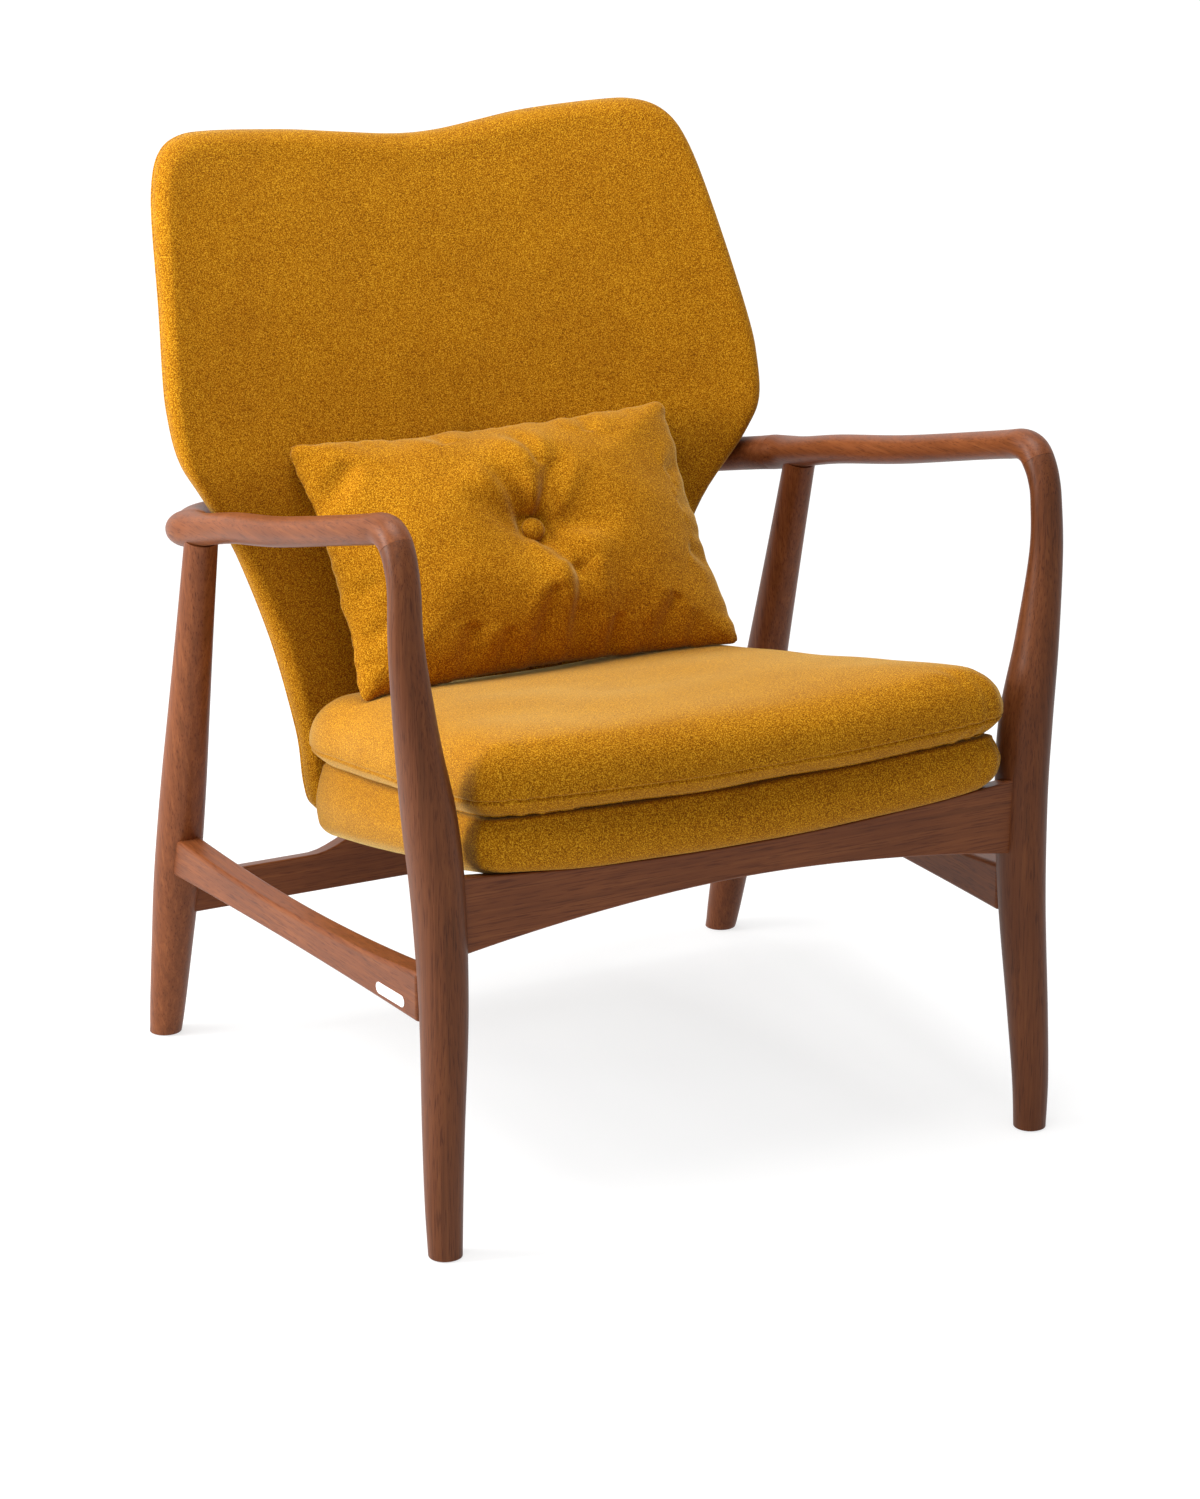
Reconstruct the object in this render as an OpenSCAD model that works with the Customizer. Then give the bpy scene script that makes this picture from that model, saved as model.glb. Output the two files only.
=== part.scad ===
// Wooden armchair: shaped timber frame with a bowed back crossbar, an upholstered
// seat base and winged back, a loose seat cushion and a loose lumbar pillow.
// Millimetres, +Z up, the chair faces -Y, symmetric about X = 0.

/* [Timber frame] */
// Distance between the two front feet, centre to centre
front_foot_span = 580; // [465:1:700]
// Distance between the two rear feet, centre to centre
rear_foot_span = 604; // [485:1:730]
// Distance from the front feet to the rear feet, centre to centre
foot_depth = 577; // [480:1:695]
// Distance between the centre lines of the two armrests
arm_span = 618; // [515:1:745]
// Height of the armrest centre line at its front crest
arm_height = 608; // [510:1:730]
// How much the armrest falls for each millimetre it runs back
arm_fall = 0.235; // [0.19:0.005:0.285]
// How far the back crossbar bows rearwards from the armrests
crossbar_bow = 109; // [100:1:130]
// Height of the front rail's top edge at the legs
seat_height = 328; // [273:1:395]
// Height of the front rail at the legs
front_rail_h = 70; // [58:1:84]
// Height of the front rail at its waist
front_rail_waist = 30; // [24:1:36]
// Height of each side rail at its front end
side_rail_h = 46; // [38:1:56]
// Height of the rear rail at the legs
rear_rail_h = 37; // [31:1:44]
// Thickness of every rail
rail_t = 24; // [20:1:27]
// Diameter of each foot
foot_d = 30; // [26:1:36]
// Greatest diameter of a rear leg
rear_leg_d = 43; // [37:1:51]
// Greatest depth of a front leg, front to back
front_leg_d = 52; // [44:1:62]
// Width of an armrest
arm_w = 32; // [28:1:38]
// Thickness of an armrest
arm_t = 26; // [24:1:31]

/* [Upholstered back] */
// Height of the back's top corners above the floor
back_height = 836; // [700:1:1003]
// Width across the shoulders of the back
back_w = 602; // [502:1:640]
// Width of the back at its lower end
back_foot_w = 376; // [315:1:440]
// Thickness of the back
back_t = 38; // [34:1:46]
// How much the padding of the back swells in its middle
back_crown = 10; // [8:0.5:13]
// How much the outer edges of the back come forward of its middle
back_wrap = 42; // [35:1:50]

/* [Seat and cushions] */
// Width of the seat base at its front
seat_w = 506; // [440:1:530]
// Width of the seat base at its rear
seat_rear_w = 404; // [340:1:440]
// Thickness of the seat base
seat_base_t = 47; // [39:1:56]
// Fall of the seat base's underside for each millimetre it runs back
seat_fall = 0.235; // [0.2:0.001:0.28]
// Fall of the seat base's top for each millimetre it runs back
seat_top_fall = 0.185; // [0.155:0.001:0.22]
// Thickness of the loose seat cushion at its crown
cushion_t = 70; // [58:1:84]
// Width of the lumbar pillow
pillow_w = 386; // [322:1:460]
// Height of the lumbar pillow
pillow_h = 250; // [208:1:300]
// Thickness of the lumbar pillow at its crown
pillow_t = 104; // [87:1:124]
// Diameter of the covered tuft buttons
button_d = 22; // [18:1:26]

/* [Hidden] */

walnut = "#74452c";
velvet = "#c08018";
foam_tone = "#e6dcc0";
ply_tone = "#c9a878";
steel_tone = "#9a9a9c";
black_tone = "#26262a";
nylon_tone = "#3a3a3c";
plate_tone = "#f2f0ec";

// ---- small maths helpers -------------------------------------------------
function unit(v) = v / norm(v);
function mix(a, b, t) = a + (b - a) * t;
function flip(p) = [-p[0], p[1], p[2]];
function blend4(a, b, c, d, t) =
  0.5 * (2 * b + (c - a) * t + (2 * a - 5 * b + 4 * c - d) * t * t
         + (3 * b - a - 3 * c + d) * t * t * t);
function through(s, n) = [
  for (i = [0 : len(s) - 2], k = [0 : n - 1])
    blend4(s[max(i - 1, 0)], s[i], s[i + 1], s[min(i + 2, len(s) - 1)], k / n),
  s[len(s) - 1]
];
function ease(t) = t * t * (3 - 2 * t);

// ---- shaped timber: rings along a path -----------------------------------
ring_n = 18;          // points around a timber section
section_power = 0.96; // below 1 squares the section a little
function soft(c) = sign(c) * pow(abs(c), section_power);
function side_of(n, t) = unit(cross(n, t));
function timber_ring(p, t, n, a, b) = let (s = side_of(n, t), m = cross(t, s))
  [for (k = [0 : ring_n - 1])
    p + s * a * soft(cos(k * 360 / ring_n)) + m * b * soft(sin(k * 360 / ring_n))];
function point(s) = [s[0], s[1], s[2]];
function tangent(path, i) =
  unit(point(path[min(i + 1, len(path) - 1)]) - point(path[max(i - 1, 0)]));

// Two triangles for each patch between rings, split on the shorter diagonal, so that
// pieces sharing a surface share its triangles as well.
function ring_sides(points, n, m) = [for (i = [0 : m - 2], k = [0 : n - 1], h = [0, 1])
  let (a = i * n + k, b = i * n + (k + 1) % n,
       ab = norm(points[a] - points[b + n]), ba = norm(points[b] - points[a + n]))
  ab < ba ? (h == 0 ? [a, a + n, b + n] : [a, b + n, b])
          : (h == 0 ? [a, a + n, b] : [b, a + n, b + n])];

// Solid through a list of rings with a flat face on each end.
module ring_solid(rings) {
  n = len(rings[0]);
  m = len(rings);
  points = [for (r = rings) each r];
  sides = ring_sides(points, n, m);
  first = [for (k = [0 : n - 1]) k];
  last = [for (k = [n - 1 : -1 : 0]) (m - 1) * n + k];
  polyhedron(points = points, faces = concat([first], sides, [last]), convexity = 8);
}

// Solid through a list of rings, each end closed on a centre point.
function middle_of(r) = [for (j = [0 : 2]) [for (p = r) 1] * [for (p = r) p[j]] / len(r)];
module crowned_solid(rings) {
  n = len(rings[0]);
  m = len(rings);
  points = concat([for (r = rings) each r], [middle_of(rings[0]), middle_of(rings[m - 1])]);
  sides = ring_sides(points, n, m);
  first = [for (k = [0 : n - 1]) [k, (k + 1) % n, m * n]];
  last = [for (k = [0 : n - 1]) [(m - 1) * n + (k + 1) % n, (m - 1) * n + k, m * n + 1]];
  polyhedron(points = points, faces = concat(first, sides, last), convexity = 8);
}

// ---- frame geometry ------------------------------------------------------
glide_t = 2.5;
glide_r = foot_d / 2 - 4;
front_y = -foot_depth / 2;
rear_y = foot_depth / 2;
front_x = front_foot_span / 2;
rear_x = rear_foot_span / 2;
arm_x = arm_span / 2;

// Front corner: the armrest turns down into the leg over this distance.
crest_y = front_y + 70;
corner_y = front_y + 42;
leg_knee_z = seat_height + 47;
leg_waist_z = arm_height - 88;
leg_in = 6;   // the front leg's belly stands this far inside its foot
arm_a = arm_w / 2;
arm_b = arm_t / 2;

// Armrest centre line: x, y, z, half width, half thickness, rear to front.
arm_rear_y = rear_y - 118;
arm_rear_x = arm_x - 5;
mitre_turn = 26;
function arm_z(y) = arm_height + 1 - arm_fall * (y - crest_y);
arm_stations = [
  [arm_rear_x - 3, arm_rear_y + 22, arm_z(arm_rear_y + 22) + 1, arm_a + 5.5, arm_b + 3.5],
  [arm_rear_x + 2, arm_rear_y + 3, arm_z(arm_rear_y + 3), arm_a + 4.5, arm_b + 2.5],
  [arm_rear_x + 1.5, arm_rear_y - 28, arm_z(arm_rear_y - 28), arm_a + 2.5, arm_b + 1.2],
  [arm_x - 4, arm_rear_y - 92, arm_z(arm_rear_y - 92) + 1, arm_a + 1, arm_b + 0.5],
  [arm_x, mix(arm_rear_y, crest_y, 0.5), arm_z(mix(arm_rear_y, crest_y, 0.5)) - 2, arm_a, arm_b],
  [arm_x, crest_y + 68, arm_z(crest_y + 68) - 1, arm_a - 0.5, arm_b - 0.5],
  [arm_x - 2, crest_y + 20, arm_z(crest_y + 20) - 0.5, arm_a - 0.8, arm_b - 0.3],
  [arm_x - 4, crest_y - 3, arm_height + 1, arm_a - 1.3, arm_b + 0.2],
  [arm_x - 4, corner_y + 10, arm_height - 1, arm_a - 1.8, arm_b + 0.8],
];
mitre_station = [arm_x - 4.2, corner_y, arm_height - 8.5, arm_a - 2.1, arm_b + 0.9];
leg_stations = [
  [arm_x - 4, corner_y - 8, arm_height - 22, arm_a - 2.4, arm_b + 0.3],
  [arm_x - 4, corner_y - 13, arm_height - 42, arm_a - 2.4, arm_b],
  [arm_x - 4, corner_y - 15.5, leg_waist_z, arm_a - 1.2, arm_b + 0.9],
  [mix(front_x, arm_x, 0.38), corner_y - 17, mix(leg_knee_z, leg_waist_z, 0.46),
   mix(arm_a, front_leg_d / 2, 0.2), mix(arm_b, front_leg_d / 2, 0.63)],
  [front_x - leg_in + 4, corner_y - 18, leg_knee_z, front_leg_d / 2 - 4, front_leg_d / 2 - 0.4],
  [front_x - leg_in - 1, corner_y - 22, seat_height - 20, front_leg_d / 2 - 4.6, front_leg_d / 2 + 0.3],
  [front_x - leg_in - 1.5, corner_y - 29, seat_height * 0.65, front_leg_d / 2 - 6.6, front_leg_d / 2 - 2.4],
  [front_x - 2.5, front_y + 6, seat_height * 0.34, mix(foot_d / 2, front_leg_d / 2, 0.18),
   mix(foot_d / 2, front_leg_d / 2, 0.47)],
  [front_x, front_y + 1.5, seat_height * 0.14, foot_d / 2 + 0.8, foot_d / 2 + 1.2],
  [front_x, front_y, 0, foot_d / 2 - 0.7, foot_d / 2 - 0.7],
];
side_steps = 3;
side_path = through(concat(arm_stations, [mitre_station], leg_stations), side_steps);
mitre_i = side_steps * len(arm_stations);
function frame_normal(t) = unit([0, -t[2], t[1]]);
corner_t = unit([sin(mitre_turn), -cos(mitre_turn), arm_fall * cos(mitre_turn)]);
function side_tangent(i) = i == 0 ? corner_t : tangent(side_path, i);
function side_ring(i) = let (t = side_tangent(i), s = side_path[i])
  i == len(side_path) - 1
  ? [for (p = timber_ring(point(s), [0, 0, -1], [0, 1, 0], s[3], s[4])) p]
  : timber_ring(point(s), t, frame_normal(t), s[3], s[4]);
side_rings = [for (i = [0 : len(side_path) - 1]) side_ring(i)];

// Crossbar: bows rearwards from the armrests and joins them on mitres.
corner_station = side_path[0];
bar_half = corner_station[0] - 4;
bar_y0 = corner_station[1] + 3;
bar_fall = 0.2;
bar_a = 12;
bar_b = 16;
bar_shape = [[0, 1], [0.2, 1], [0.4, 0.99], [0.56, 0.955], [0.69, 0.89], [0.79, 0.785],
             [0.87, 0.63], [0.94, 0.365], [1, 0]];
bar_table = through(concat([[-bar_shape[1][0], bar_shape[1][1]]], bar_shape), 4);
bar_plane = unit([0, bar_fall, 1]);
bar_z0 = corner_station[2] - bar_fall * (bar_y0 - corner_station[1]);
function bar_point(x) = let (d = crossbar_bow * lookup(abs(x) / bar_half, bar_table))
  [x, bar_y0 + d, bar_z0 - bar_fall * d];
function bar_tangent(x) = unit(bar_point(x + 4) - bar_point(x - 4));
function bar_half_w(u) = mix(bar_a, corner_station[3] - 4.5, pow(u, 6));
function bar_ring(x) = timber_ring(bar_point(x), bar_tangent(x), -bar_plane,
                                   bar_half_w(x / bar_half), bar_b);
bar_marks = [0.18, 0.36, 0.5, 0.61, 0.7, 0.78, 0.85, 0.91, 0.96];
bar_right = concat([for (u = bar_marks) bar_ring(bar_half * u)], [side_rings[0]]);
bar_rings = concat([for (i = [len(bar_right) - 1 : -1 : 0]) [for (p = bar_right[i]) flip(p)]],
                   [bar_ring(0)], bar_right);

// Rear leg: turned, leaning back towards the floor, a round tenon on top.
leg_top_y = arm_rear_y - 15;
leg_top_z = arm_z(leg_top_y) - arm_b - 3;
rear_top = [arm_rear_x + 2, leg_top_y, leg_top_z];
rear_foot = [rear_x, rear_y, 0];
rear_axis = rear_top - rear_foot;
rear_len = norm(rear_axis);
rear_tilt = acos(rear_axis[2] / rear_len);
rear_turn = atan2(rear_axis[1], rear_axis[0]);
tenon_r = 8;
tenon_l = 12;
shoulder_in = 6;
function rear_point(z) = rear_foot + rear_axis * z / rear_axis[2];

module rear_leg_turning() {
  d = rear_leg_d / 2;
  f = foot_d / 2;
  translate(rear_foot)
    rotate([0, 0, rear_turn])
      rotate([0, rear_tilt, 0])
        rotate_extrude($fn = 96)
          polygon([
            [0, -12], [f - 0.5, -12], [f + 1, 18], [mix(f, d, 0.35), rear_len * 0.09],
            [mix(f, d, 0.66), rear_len * 0.2], [d - 0.5, rear_len * 0.3],
            [d, rear_len * 0.4], [d - 0.8, rear_len * 0.54],
            [mix(f, d, 0.55), rear_len * 0.7], [mix(f, d, 0.24), rear_len * 0.86],
            [f, rear_len], [f, rear_len + shoulder_in],
            [tenon_r, rear_len + shoulder_in], [tenon_r, rear_len + tenon_l],
            [0, rear_len + tenon_l]
          ]);
}

// ---- rails ---------------------------------------------------------------
housing = 11; // how deep a rail's end is housed in a leg
rail_cols = 12;
rail_clear = 0.1; // between a rail's top and the seat pan resting on it

// Front rail: arched below, slightly hollow on top.
front_rail_y = front_y + 19;
front_rail_half = front_x - leg_in - (front_leg_d / 2 - 4.6) + housing;
front_sag = 15;
function front_top(x) = seat_height - rail_clear
  - front_sag * (1 - pow(abs(x) / front_rail_half, 2));
function front_bottom(x) = front_top(x) - mix(front_rail_waist, front_rail_h,
                                             pow(abs(x) / front_rail_half, 1.9));
// A rail built along X from its upper and lower edges, its top bevelled to the seat.
module bevelled_rail(half, y, tops, bottoms) {
  n = (len(tops) - 1) / 2;
  drop = seat_fall * rail_t;
  ring_solid([for (i = [0 : 2 * n]) let (x = half * (i - n) / n)
    [[x, y - rail_t / 2, bottoms[i]], [x, y + rail_t / 2, bottoms[i]],
     [x, y + rail_t / 2, tops[i] - drop], [x, y - rail_t / 2, tops[i]]]]);
}
module front_rail_solid() {
  n = rail_cols;
  xs = [for (i = [-n : n]) front_rail_half * i / n];
  bevelled_rail(front_rail_half, front_rail_y,
                [for (x = xs) front_top(x)], [for (x = xs) front_bottom(x)]);
}

// Rear rail: low between the rear legs, risen in the middle to carry the seat.
rear_rail_z = seat_height - 176;
rear_rail_c = rear_point(rear_rail_z);
rear_rail_half = rear_rail_c[0] - rear_leg_d / 2 + housing;
rear_rail_y = rear_rail_c[1];
rear_rise_half = seat_rear_w / 2 - 110;
rear_rise_l = 75;
function rear_top_z(x) = let (u = (rear_rise_half + rear_rise_l - abs(x)) / rear_rise_l)
  mix(rear_rail_z + rear_rail_h / 2, pan_z([x, rear_rail_y - rail_t / 2]) - rail_clear,
      ease(min(max(u, 0), 1)));
module rear_rail_solid() {
  n = rail_cols + 4;
  xs = [for (i = [-n : n]) rear_rail_half * i / n];
  bevelled_rail(rear_rail_half, rear_rail_y,
                [for (x = xs) rear_top_z(x)],
                [for (x = xs) rear_rail_z - rear_rail_h / 2]);
}

// Side rails: waisted, rising a little towards the front.
side_front_z = seat_height - 132;
side_rear_z = side_front_z - 19;
side_y0 = corner_y - 22;
side_y1 = rear_point(side_rear_z + 20)[1];
side_x0 = front_x - leg_in - 0.5;
side_x1 = rear_point(side_rear_z + 20)[0];
side_run = norm([side_x1 - side_x0, side_y1 - side_y0]);
side_angle = atan2(side_x0 - side_x1, side_y1 - side_y0);
side_s0 = front_leg_d / 2 - housing + 1;
side_s1 = side_run - rear_leg_d / 2 + housing + 5;
side_waist = 11;
function side_bottom(s) = let (u = s / side_run)
  mix(side_front_z, side_rear_z, u) + 3 * (1 - pow(2 * u - 1, 2));
function side_top(s) = let (u = s / side_run)
  mix(side_front_z + side_rail_h, side_rear_z + side_rail_h - 7, u)
  - side_waist * (1 - pow(2 * u - 1, 2));
module side_rail_profile() {
  n = rail_cols;
  upper = [for (i = [0 : n]) let (s = mix(side_s0, side_s1, i / n)) [s, side_top(s)]];
  lower = [for (i = [n : -1 : 0]) let (s = mix(side_s0, side_s1, i / n)) [s, side_bottom(s)]];
  polygon(concat(lower, upper));
}
// Local frame: first axis runs back along the rail, second is up.
module on_side_rail() {
  translate([side_x0, side_y0, 0])
    rotate([0, 0, side_angle + 90])
      rotate([90, 0, 0])
        children();
}
module side_rail_solid() {
  on_side_rail()
    translate([0, 0, -rail_t / 2])
      linear_extrude(height = rail_t)
        side_rail_profile();
}

// ---- the two mirrored halves --------------------------------------------
module left() {
  mirror([1, 0, 0])
    children();
}

// ---- dowels --------------------------------------------------------------
dowel_r = 3.5;
dowel_l = 26;
dowel_gap = 12;
// Places children on a ring's centre with Z along the path and X across it.
module on_ring(p, t, n) {
  s = side_of(n, t);
  m = cross(t, s);
  multmatrix([[s[0], m[0], t[0], p[0]], [s[1], m[1], t[1], p[1]],
              [s[2], m[2], t[2], p[2]], [0, 0, 0, 1]])
    children();
}
module dowel_pair() {
  for (e = [-1, 1])
    translate([e * dowel_gap / 2, 0, -dowel_l / 2])
      cylinder(r = dowel_r, h = dowel_l, $fn = 48);
}
mitre_t = side_tangent(mitre_i);
module arm_dowel_pair() {
  on_ring(point(side_path[mitre_i]), mitre_t, frame_normal(mitre_t))
    dowel_pair();
}
module crossbar_dowel_pair() {
  on_ring(point(corner_station), corner_t, frame_normal(corner_t))
    dowel_pair();
}

module armrest() {
  color(walnut)
    difference() {
      ring_solid([for (i = [0 : mitre_i]) side_rings[i]]);
      rear_leg_turning();
      arm_dowel_pair();
      crossbar_dowel_pair();
    }
}
module front_leg() {
  color(walnut)
    difference() {
      ring_solid([for (i = [mitre_i : len(side_rings) - 1]) side_rings[i]]);
      floor_cut();
      arm_dowel_pair();
      front_rail_solid();
      side_rail_solid();
    }
}
module rear_leg() {
  color(walnut)
    difference() {
      rear_leg_turning();
      floor_cut();
      rear_rail_solid();
      side_rail_solid();
    }
}
floor_size = 2000;
module floor_cut() {
  translate([-floor_size / 2, -floor_size / 2, glide_t - 40])
    cube([floor_size, floor_size, 40]);
}

// ---- upholstery surfaces -------------------------------------------------
cloth = 2;      // cover thickness with its lining
pan_t = 12;
clear = 0.4;    // between pieces that only rest on each other
function shrink(o, c, s, e) = [for (p = o) let (d = p - c) c + d * s * (1 - e / norm(d))];
function quarter(r, n) = [for (i = [0 : n]) [r * (1 - cos(90 * i / n)), r * sin(90 * i / n)]];
function reversed(l) = [for (i = [len(l) - 1 : -1 : 0]) l[i]];
function half_loop(h) = concat(h, [for (i = [len(h) - 2 : -1 : 1]) [-h[i][0], h[i][1]]]);

// Seat base: a shallow trough that follows the hollow of the front rail.
seat_front_y = front_y - 11;
seat_rear_y = rear_y - 109;
function sag(x) = -front_sag * (1 - pow(x / front_rail_half, 2));
function pan_z(p) = seat_height + sag(p[0]) - seat_fall * (p[1] - front_rail_y + rail_t / 2);
function top_z(p) = seat_height + 0.5 * sag(p[0]) + seat_base_t
  - seat_top_fall * (p[1] - front_rail_y + rail_t / 2);
function seat_point(p, h) = [p[0], p[1], h <= pan_t ? pan_z(p) + h
  : mix(pan_z(p) + pan_t, top_z(p), (h - pan_t) / (seat_base_t - pan_t))];
seat_c = [0, (seat_front_y + seat_rear_y) / 2];
seat_a = seat_w / 2;
seat_b = seat_rear_w / 2;
seat_half = [
  [0, seat_front_y], [seat_a * 0.4, seat_front_y + 1], [seat_a * 0.75, seat_front_y + 4],
  [seat_a - 22, seat_front_y + 8], [seat_a - 6, seat_front_y + 15],
  [seat_a, seat_front_y + 32], [mix(seat_a, seat_b, 0.1), mix(seat_front_y, seat_rear_y, 0.25)],
  [mix(seat_a, seat_b, 0.35), mix(seat_front_y, seat_rear_y, 0.5)],
  [mix(seat_a, seat_b, 0.68), mix(seat_front_y, seat_rear_y, 0.75)],
  [seat_b, seat_rear_y - 34], [seat_b - 8, seat_rear_y - 14], [seat_b - 30, seat_rear_y - 7],
  [seat_b * 0.4, seat_rear_y - 2], [0, seat_rear_y],
];
seat_o = half_loop(through(seat_half, 2));
seat_round = 16;
function seat_rings(e0, list) = [for (q = list)
  [for (p = shrink(seat_o, seat_c, q[1], q[0] + e0)) seat_point(p, q[2])]];
inner_scales = [0.8, 0.5, 0.2];
function seat_edge(e, lo, hi) = concat([[e, 1, lo]],
  [for (k = quarter(seat_round - e, 2)) [e + k[0], 1, hi - seat_round + e + k[1]]]);
function seat_flat(h) = [for (s = inner_scales) [seat_round, s, h]];
module seat_cover_solid() {
  inner = seat_edge(cloth, 0, seat_base_t - cloth);
  outer = seat_edge(0, 0, seat_base_t);
  crowned_solid(seat_rings(0, concat(reversed(concat(inner, seat_flat(seat_base_t - cloth))),
                                     outer, seat_flat(seat_base_t))));
}
module seat_foam_solid() {
  edge = seat_edge(cloth, pan_t, seat_base_t - cloth);
  crowned_solid(seat_rings(0, concat(reversed(concat([[cloth, 1, pan_t]], seat_flat(pan_t))),
                                     [for (i = [1 : len(edge) - 1]) edge[i]],
                                     seat_flat(seat_base_t - cloth))));
}
// The pan runs on behind the seat base to lie on the rear rail.
pan_rear_y = rear_rail_y + rail_t / 2;
tail_half = rear_rise_half - 4;
slot_gap = 0.5; // around the pan's tail where it passes through the cover
module seat_pan_body() {
  crowned_solid(seat_rings(0, concat(reversed(concat([[cloth, 1, 0]], seat_flat(0))),
                                     [[cloth, 1, pan_t]], seat_flat(pan_t))));
}
module seat_tail(lo = 0, hi = pan_t) {
  n = 6;
  y0 = seat_rear_y - 40;
  ring_solid([for (i = [-n : n]) let (x = tail_half * i / n,
      a = [x, y0], b = [x, pan_rear_y])
    [seat_point(a, lo), seat_point(b, lo), seat_point(b, hi), seat_point(a, hi)]]);
}

// Back: a surface leaning and bending rearwards, its edges wrapped forward.
back_z0 = pan_z([0, rear_y - 106]) + pan_t + 1.5;
back_a = back_w / 2;
back_b = back_foot_w / 2;
lean_stations = [
  [back_z0 - 30, rear_y - 81], [mix(back_z0, back_height, 0.19), rear_y - 53],
  [mix(back_z0, back_height, 0.357), rear_y - 36],
  [mix(back_z0, back_height, 0.507), rear_y - 34.5],
  [mix(back_z0, back_height, 0.607), rear_y - 15],
  [mix(back_z0, back_height, 0.773), rear_y + 21.5],
  [mix(back_z0, back_height, 0.94), rear_y + 65.5],
  [back_height + 20, rear_y + 92],
];
lean_table = through(lean_stations, 4);
wrap_power = 2.6;
function lean(z) = lookup(z, lean_table);
function back_point(p, h) =
  [p[0], lean(p[1]) - back_wrap * pow(abs(p[0]) / back_a, wrap_power) + h, p[1]];
back_half = [
  [0, back_z0], [back_b * 0.5, back_z0 + 1], [back_b - 30, back_z0 + 3],
  [back_b - 7, back_z0 + 12], [back_b, back_z0 + 34], [back_b + 2, back_z0 + 84],
  [mix(back_b, back_a, 0.17), mix(back_z0, back_height, 0.2733)],
  [mix(back_b, back_a, 0.465), mix(back_z0, back_height, 0.407)],
  [mix(back_b, back_a, 0.807), mix(back_z0, back_height, 0.507)],
  [back_a - 4, mix(back_z0, back_height, 0.56)],
  [back_a, mix(back_z0, back_height, 0.623)],
  [back_a - 3, mix(back_z0, back_height, 0.69)],
  [back_a - 18, mix(back_z0, back_height, 0.857)],
  [back_a - 29, mix(back_z0, back_height, 0.94)],
  [back_a - 43, back_height - 12], [back_a - 66, back_height - 1],
  [back_a - 101, back_height], [back_a * 0.4, back_height - 5],
  [back_a * 0.2, back_height - 13], [0, back_height - 19],
];
back_o = half_loop(through(back_half, 2));
back_c = [0, mix(back_z0, back_height, 0.58)];
back_round = 17;
back_seam = back_t / 2 - 16;
rear_rim = back_t / 2 - 10;  // the rear face thins towards the rim
rear_round = 5;
seam_gap = 0.05;
function back_rings(list) = [for (q = list)
  [for (p = shrink(back_o, back_c, q[1], q[0])) back_point(p, q[2])]];
// Front profile from the seam inwards, with e the depth below the outer face.
function back_front(e) = concat([[e, 1, back_seam]],
  [for (k = quarter(back_round - e, 2)) [e + k[0], 1, -(back_t / 2 - back_round + k[1])]],
  [[back_round, 0.8, -back_t / 2 - back_crown * 0.5 + e],
   [back_round, 0.5, -back_t / 2 - back_crown * 0.85 + e],
   [back_round, 0.2, -back_t / 2 - back_crown + e]]);
function back_rear(e) = concat([[e, 1, back_seam + seam_gap]],
  [for (k = quarter(rear_round - e, 2)) [e + k[0], 1, rear_rim - rear_round + k[1]]],
  [[rear_round, 0.75, back_t / 2 - e], [rear_round, 0.35, back_t / 2 - e]]);
ply_t = 10;
ply_front = back_t / 2 - cloth - ply_t;
ply_face = [[cloth, 0.75, ply_front], [cloth, 0.35, ply_front]];
module back_front_solid() {
  crowned_solid(back_rings(concat(reversed(back_front(cloth)), back_front(0))));
}
module back_rear_solid() {
  crowned_solid(back_rings(concat(reversed(back_rear(0)), back_rear(cloth))));
}
module back_foam_solid() {
  crowned_solid(back_rings(concat(reversed(ply_face), back_front(cloth))));
}
module back_panel_solid() {
  crowned_solid(back_rings(concat(reversed(back_rear(cloth)), ply_face)));
}

// Loose seat cushion: flat below, crowned above, its seam low on the side.
cushion_y0 = seat_front_y - 4;
cushion_a = seat_a + 3;
cushion_b = seat_b + 9;
cushion_half = [
  [0, cushion_y0 - 6], [cushion_a * 0.4, cushion_y0 - 4], [cushion_a * 0.75, cushion_y0 + 2],
  [cushion_a - 24, cushion_y0 + 8], [cushion_a - 7, cushion_y0 + 16],
  [cushion_a, cushion_y0 + 36],
  [mix(cushion_a, cushion_b, 0.1), mix(cushion_y0, seat_rear_y, 0.25)],
  [mix(cushion_a, cushion_b, 0.35), mix(cushion_y0, seat_rear_y, 0.5)],
  [mix(cushion_a, cushion_b, 0.68), mix(cushion_y0, seat_rear_y, 0.75)],
  [cushion_b, seat_rear_y - 40], [cushion_b - 12, seat_rear_y - 17],
  [cushion_b - 40, seat_rear_y - 8], [cushion_b * 0.4, seat_rear_y - 2],
  [0, seat_rear_y - 1],
];
cushion_o = half_loop(through(cushion_half, 2));
cushion_c = [0, mix(cushion_y0, seat_rear_y, 0.5)];
cushion_seam = 14;
function cushion_point(p, h) = [p[0], p[1], top_z(p) + clear + h];
function cushion_rings(list) = [for (q = list)
  [for (p = shrink(cushion_o, cushion_c, q[1], q[0])) cushion_point(p, q[2])]];
function cushion_low(e) = concat([[e, 1, cushion_seam]],
  [[e + 5, 1, 4 + e * 0.6], [e + 14, 1, e], [20, 0.75, e], [20, 0.4, e]]);
cushion_rise = cushion_t - cushion_seam;
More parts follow.
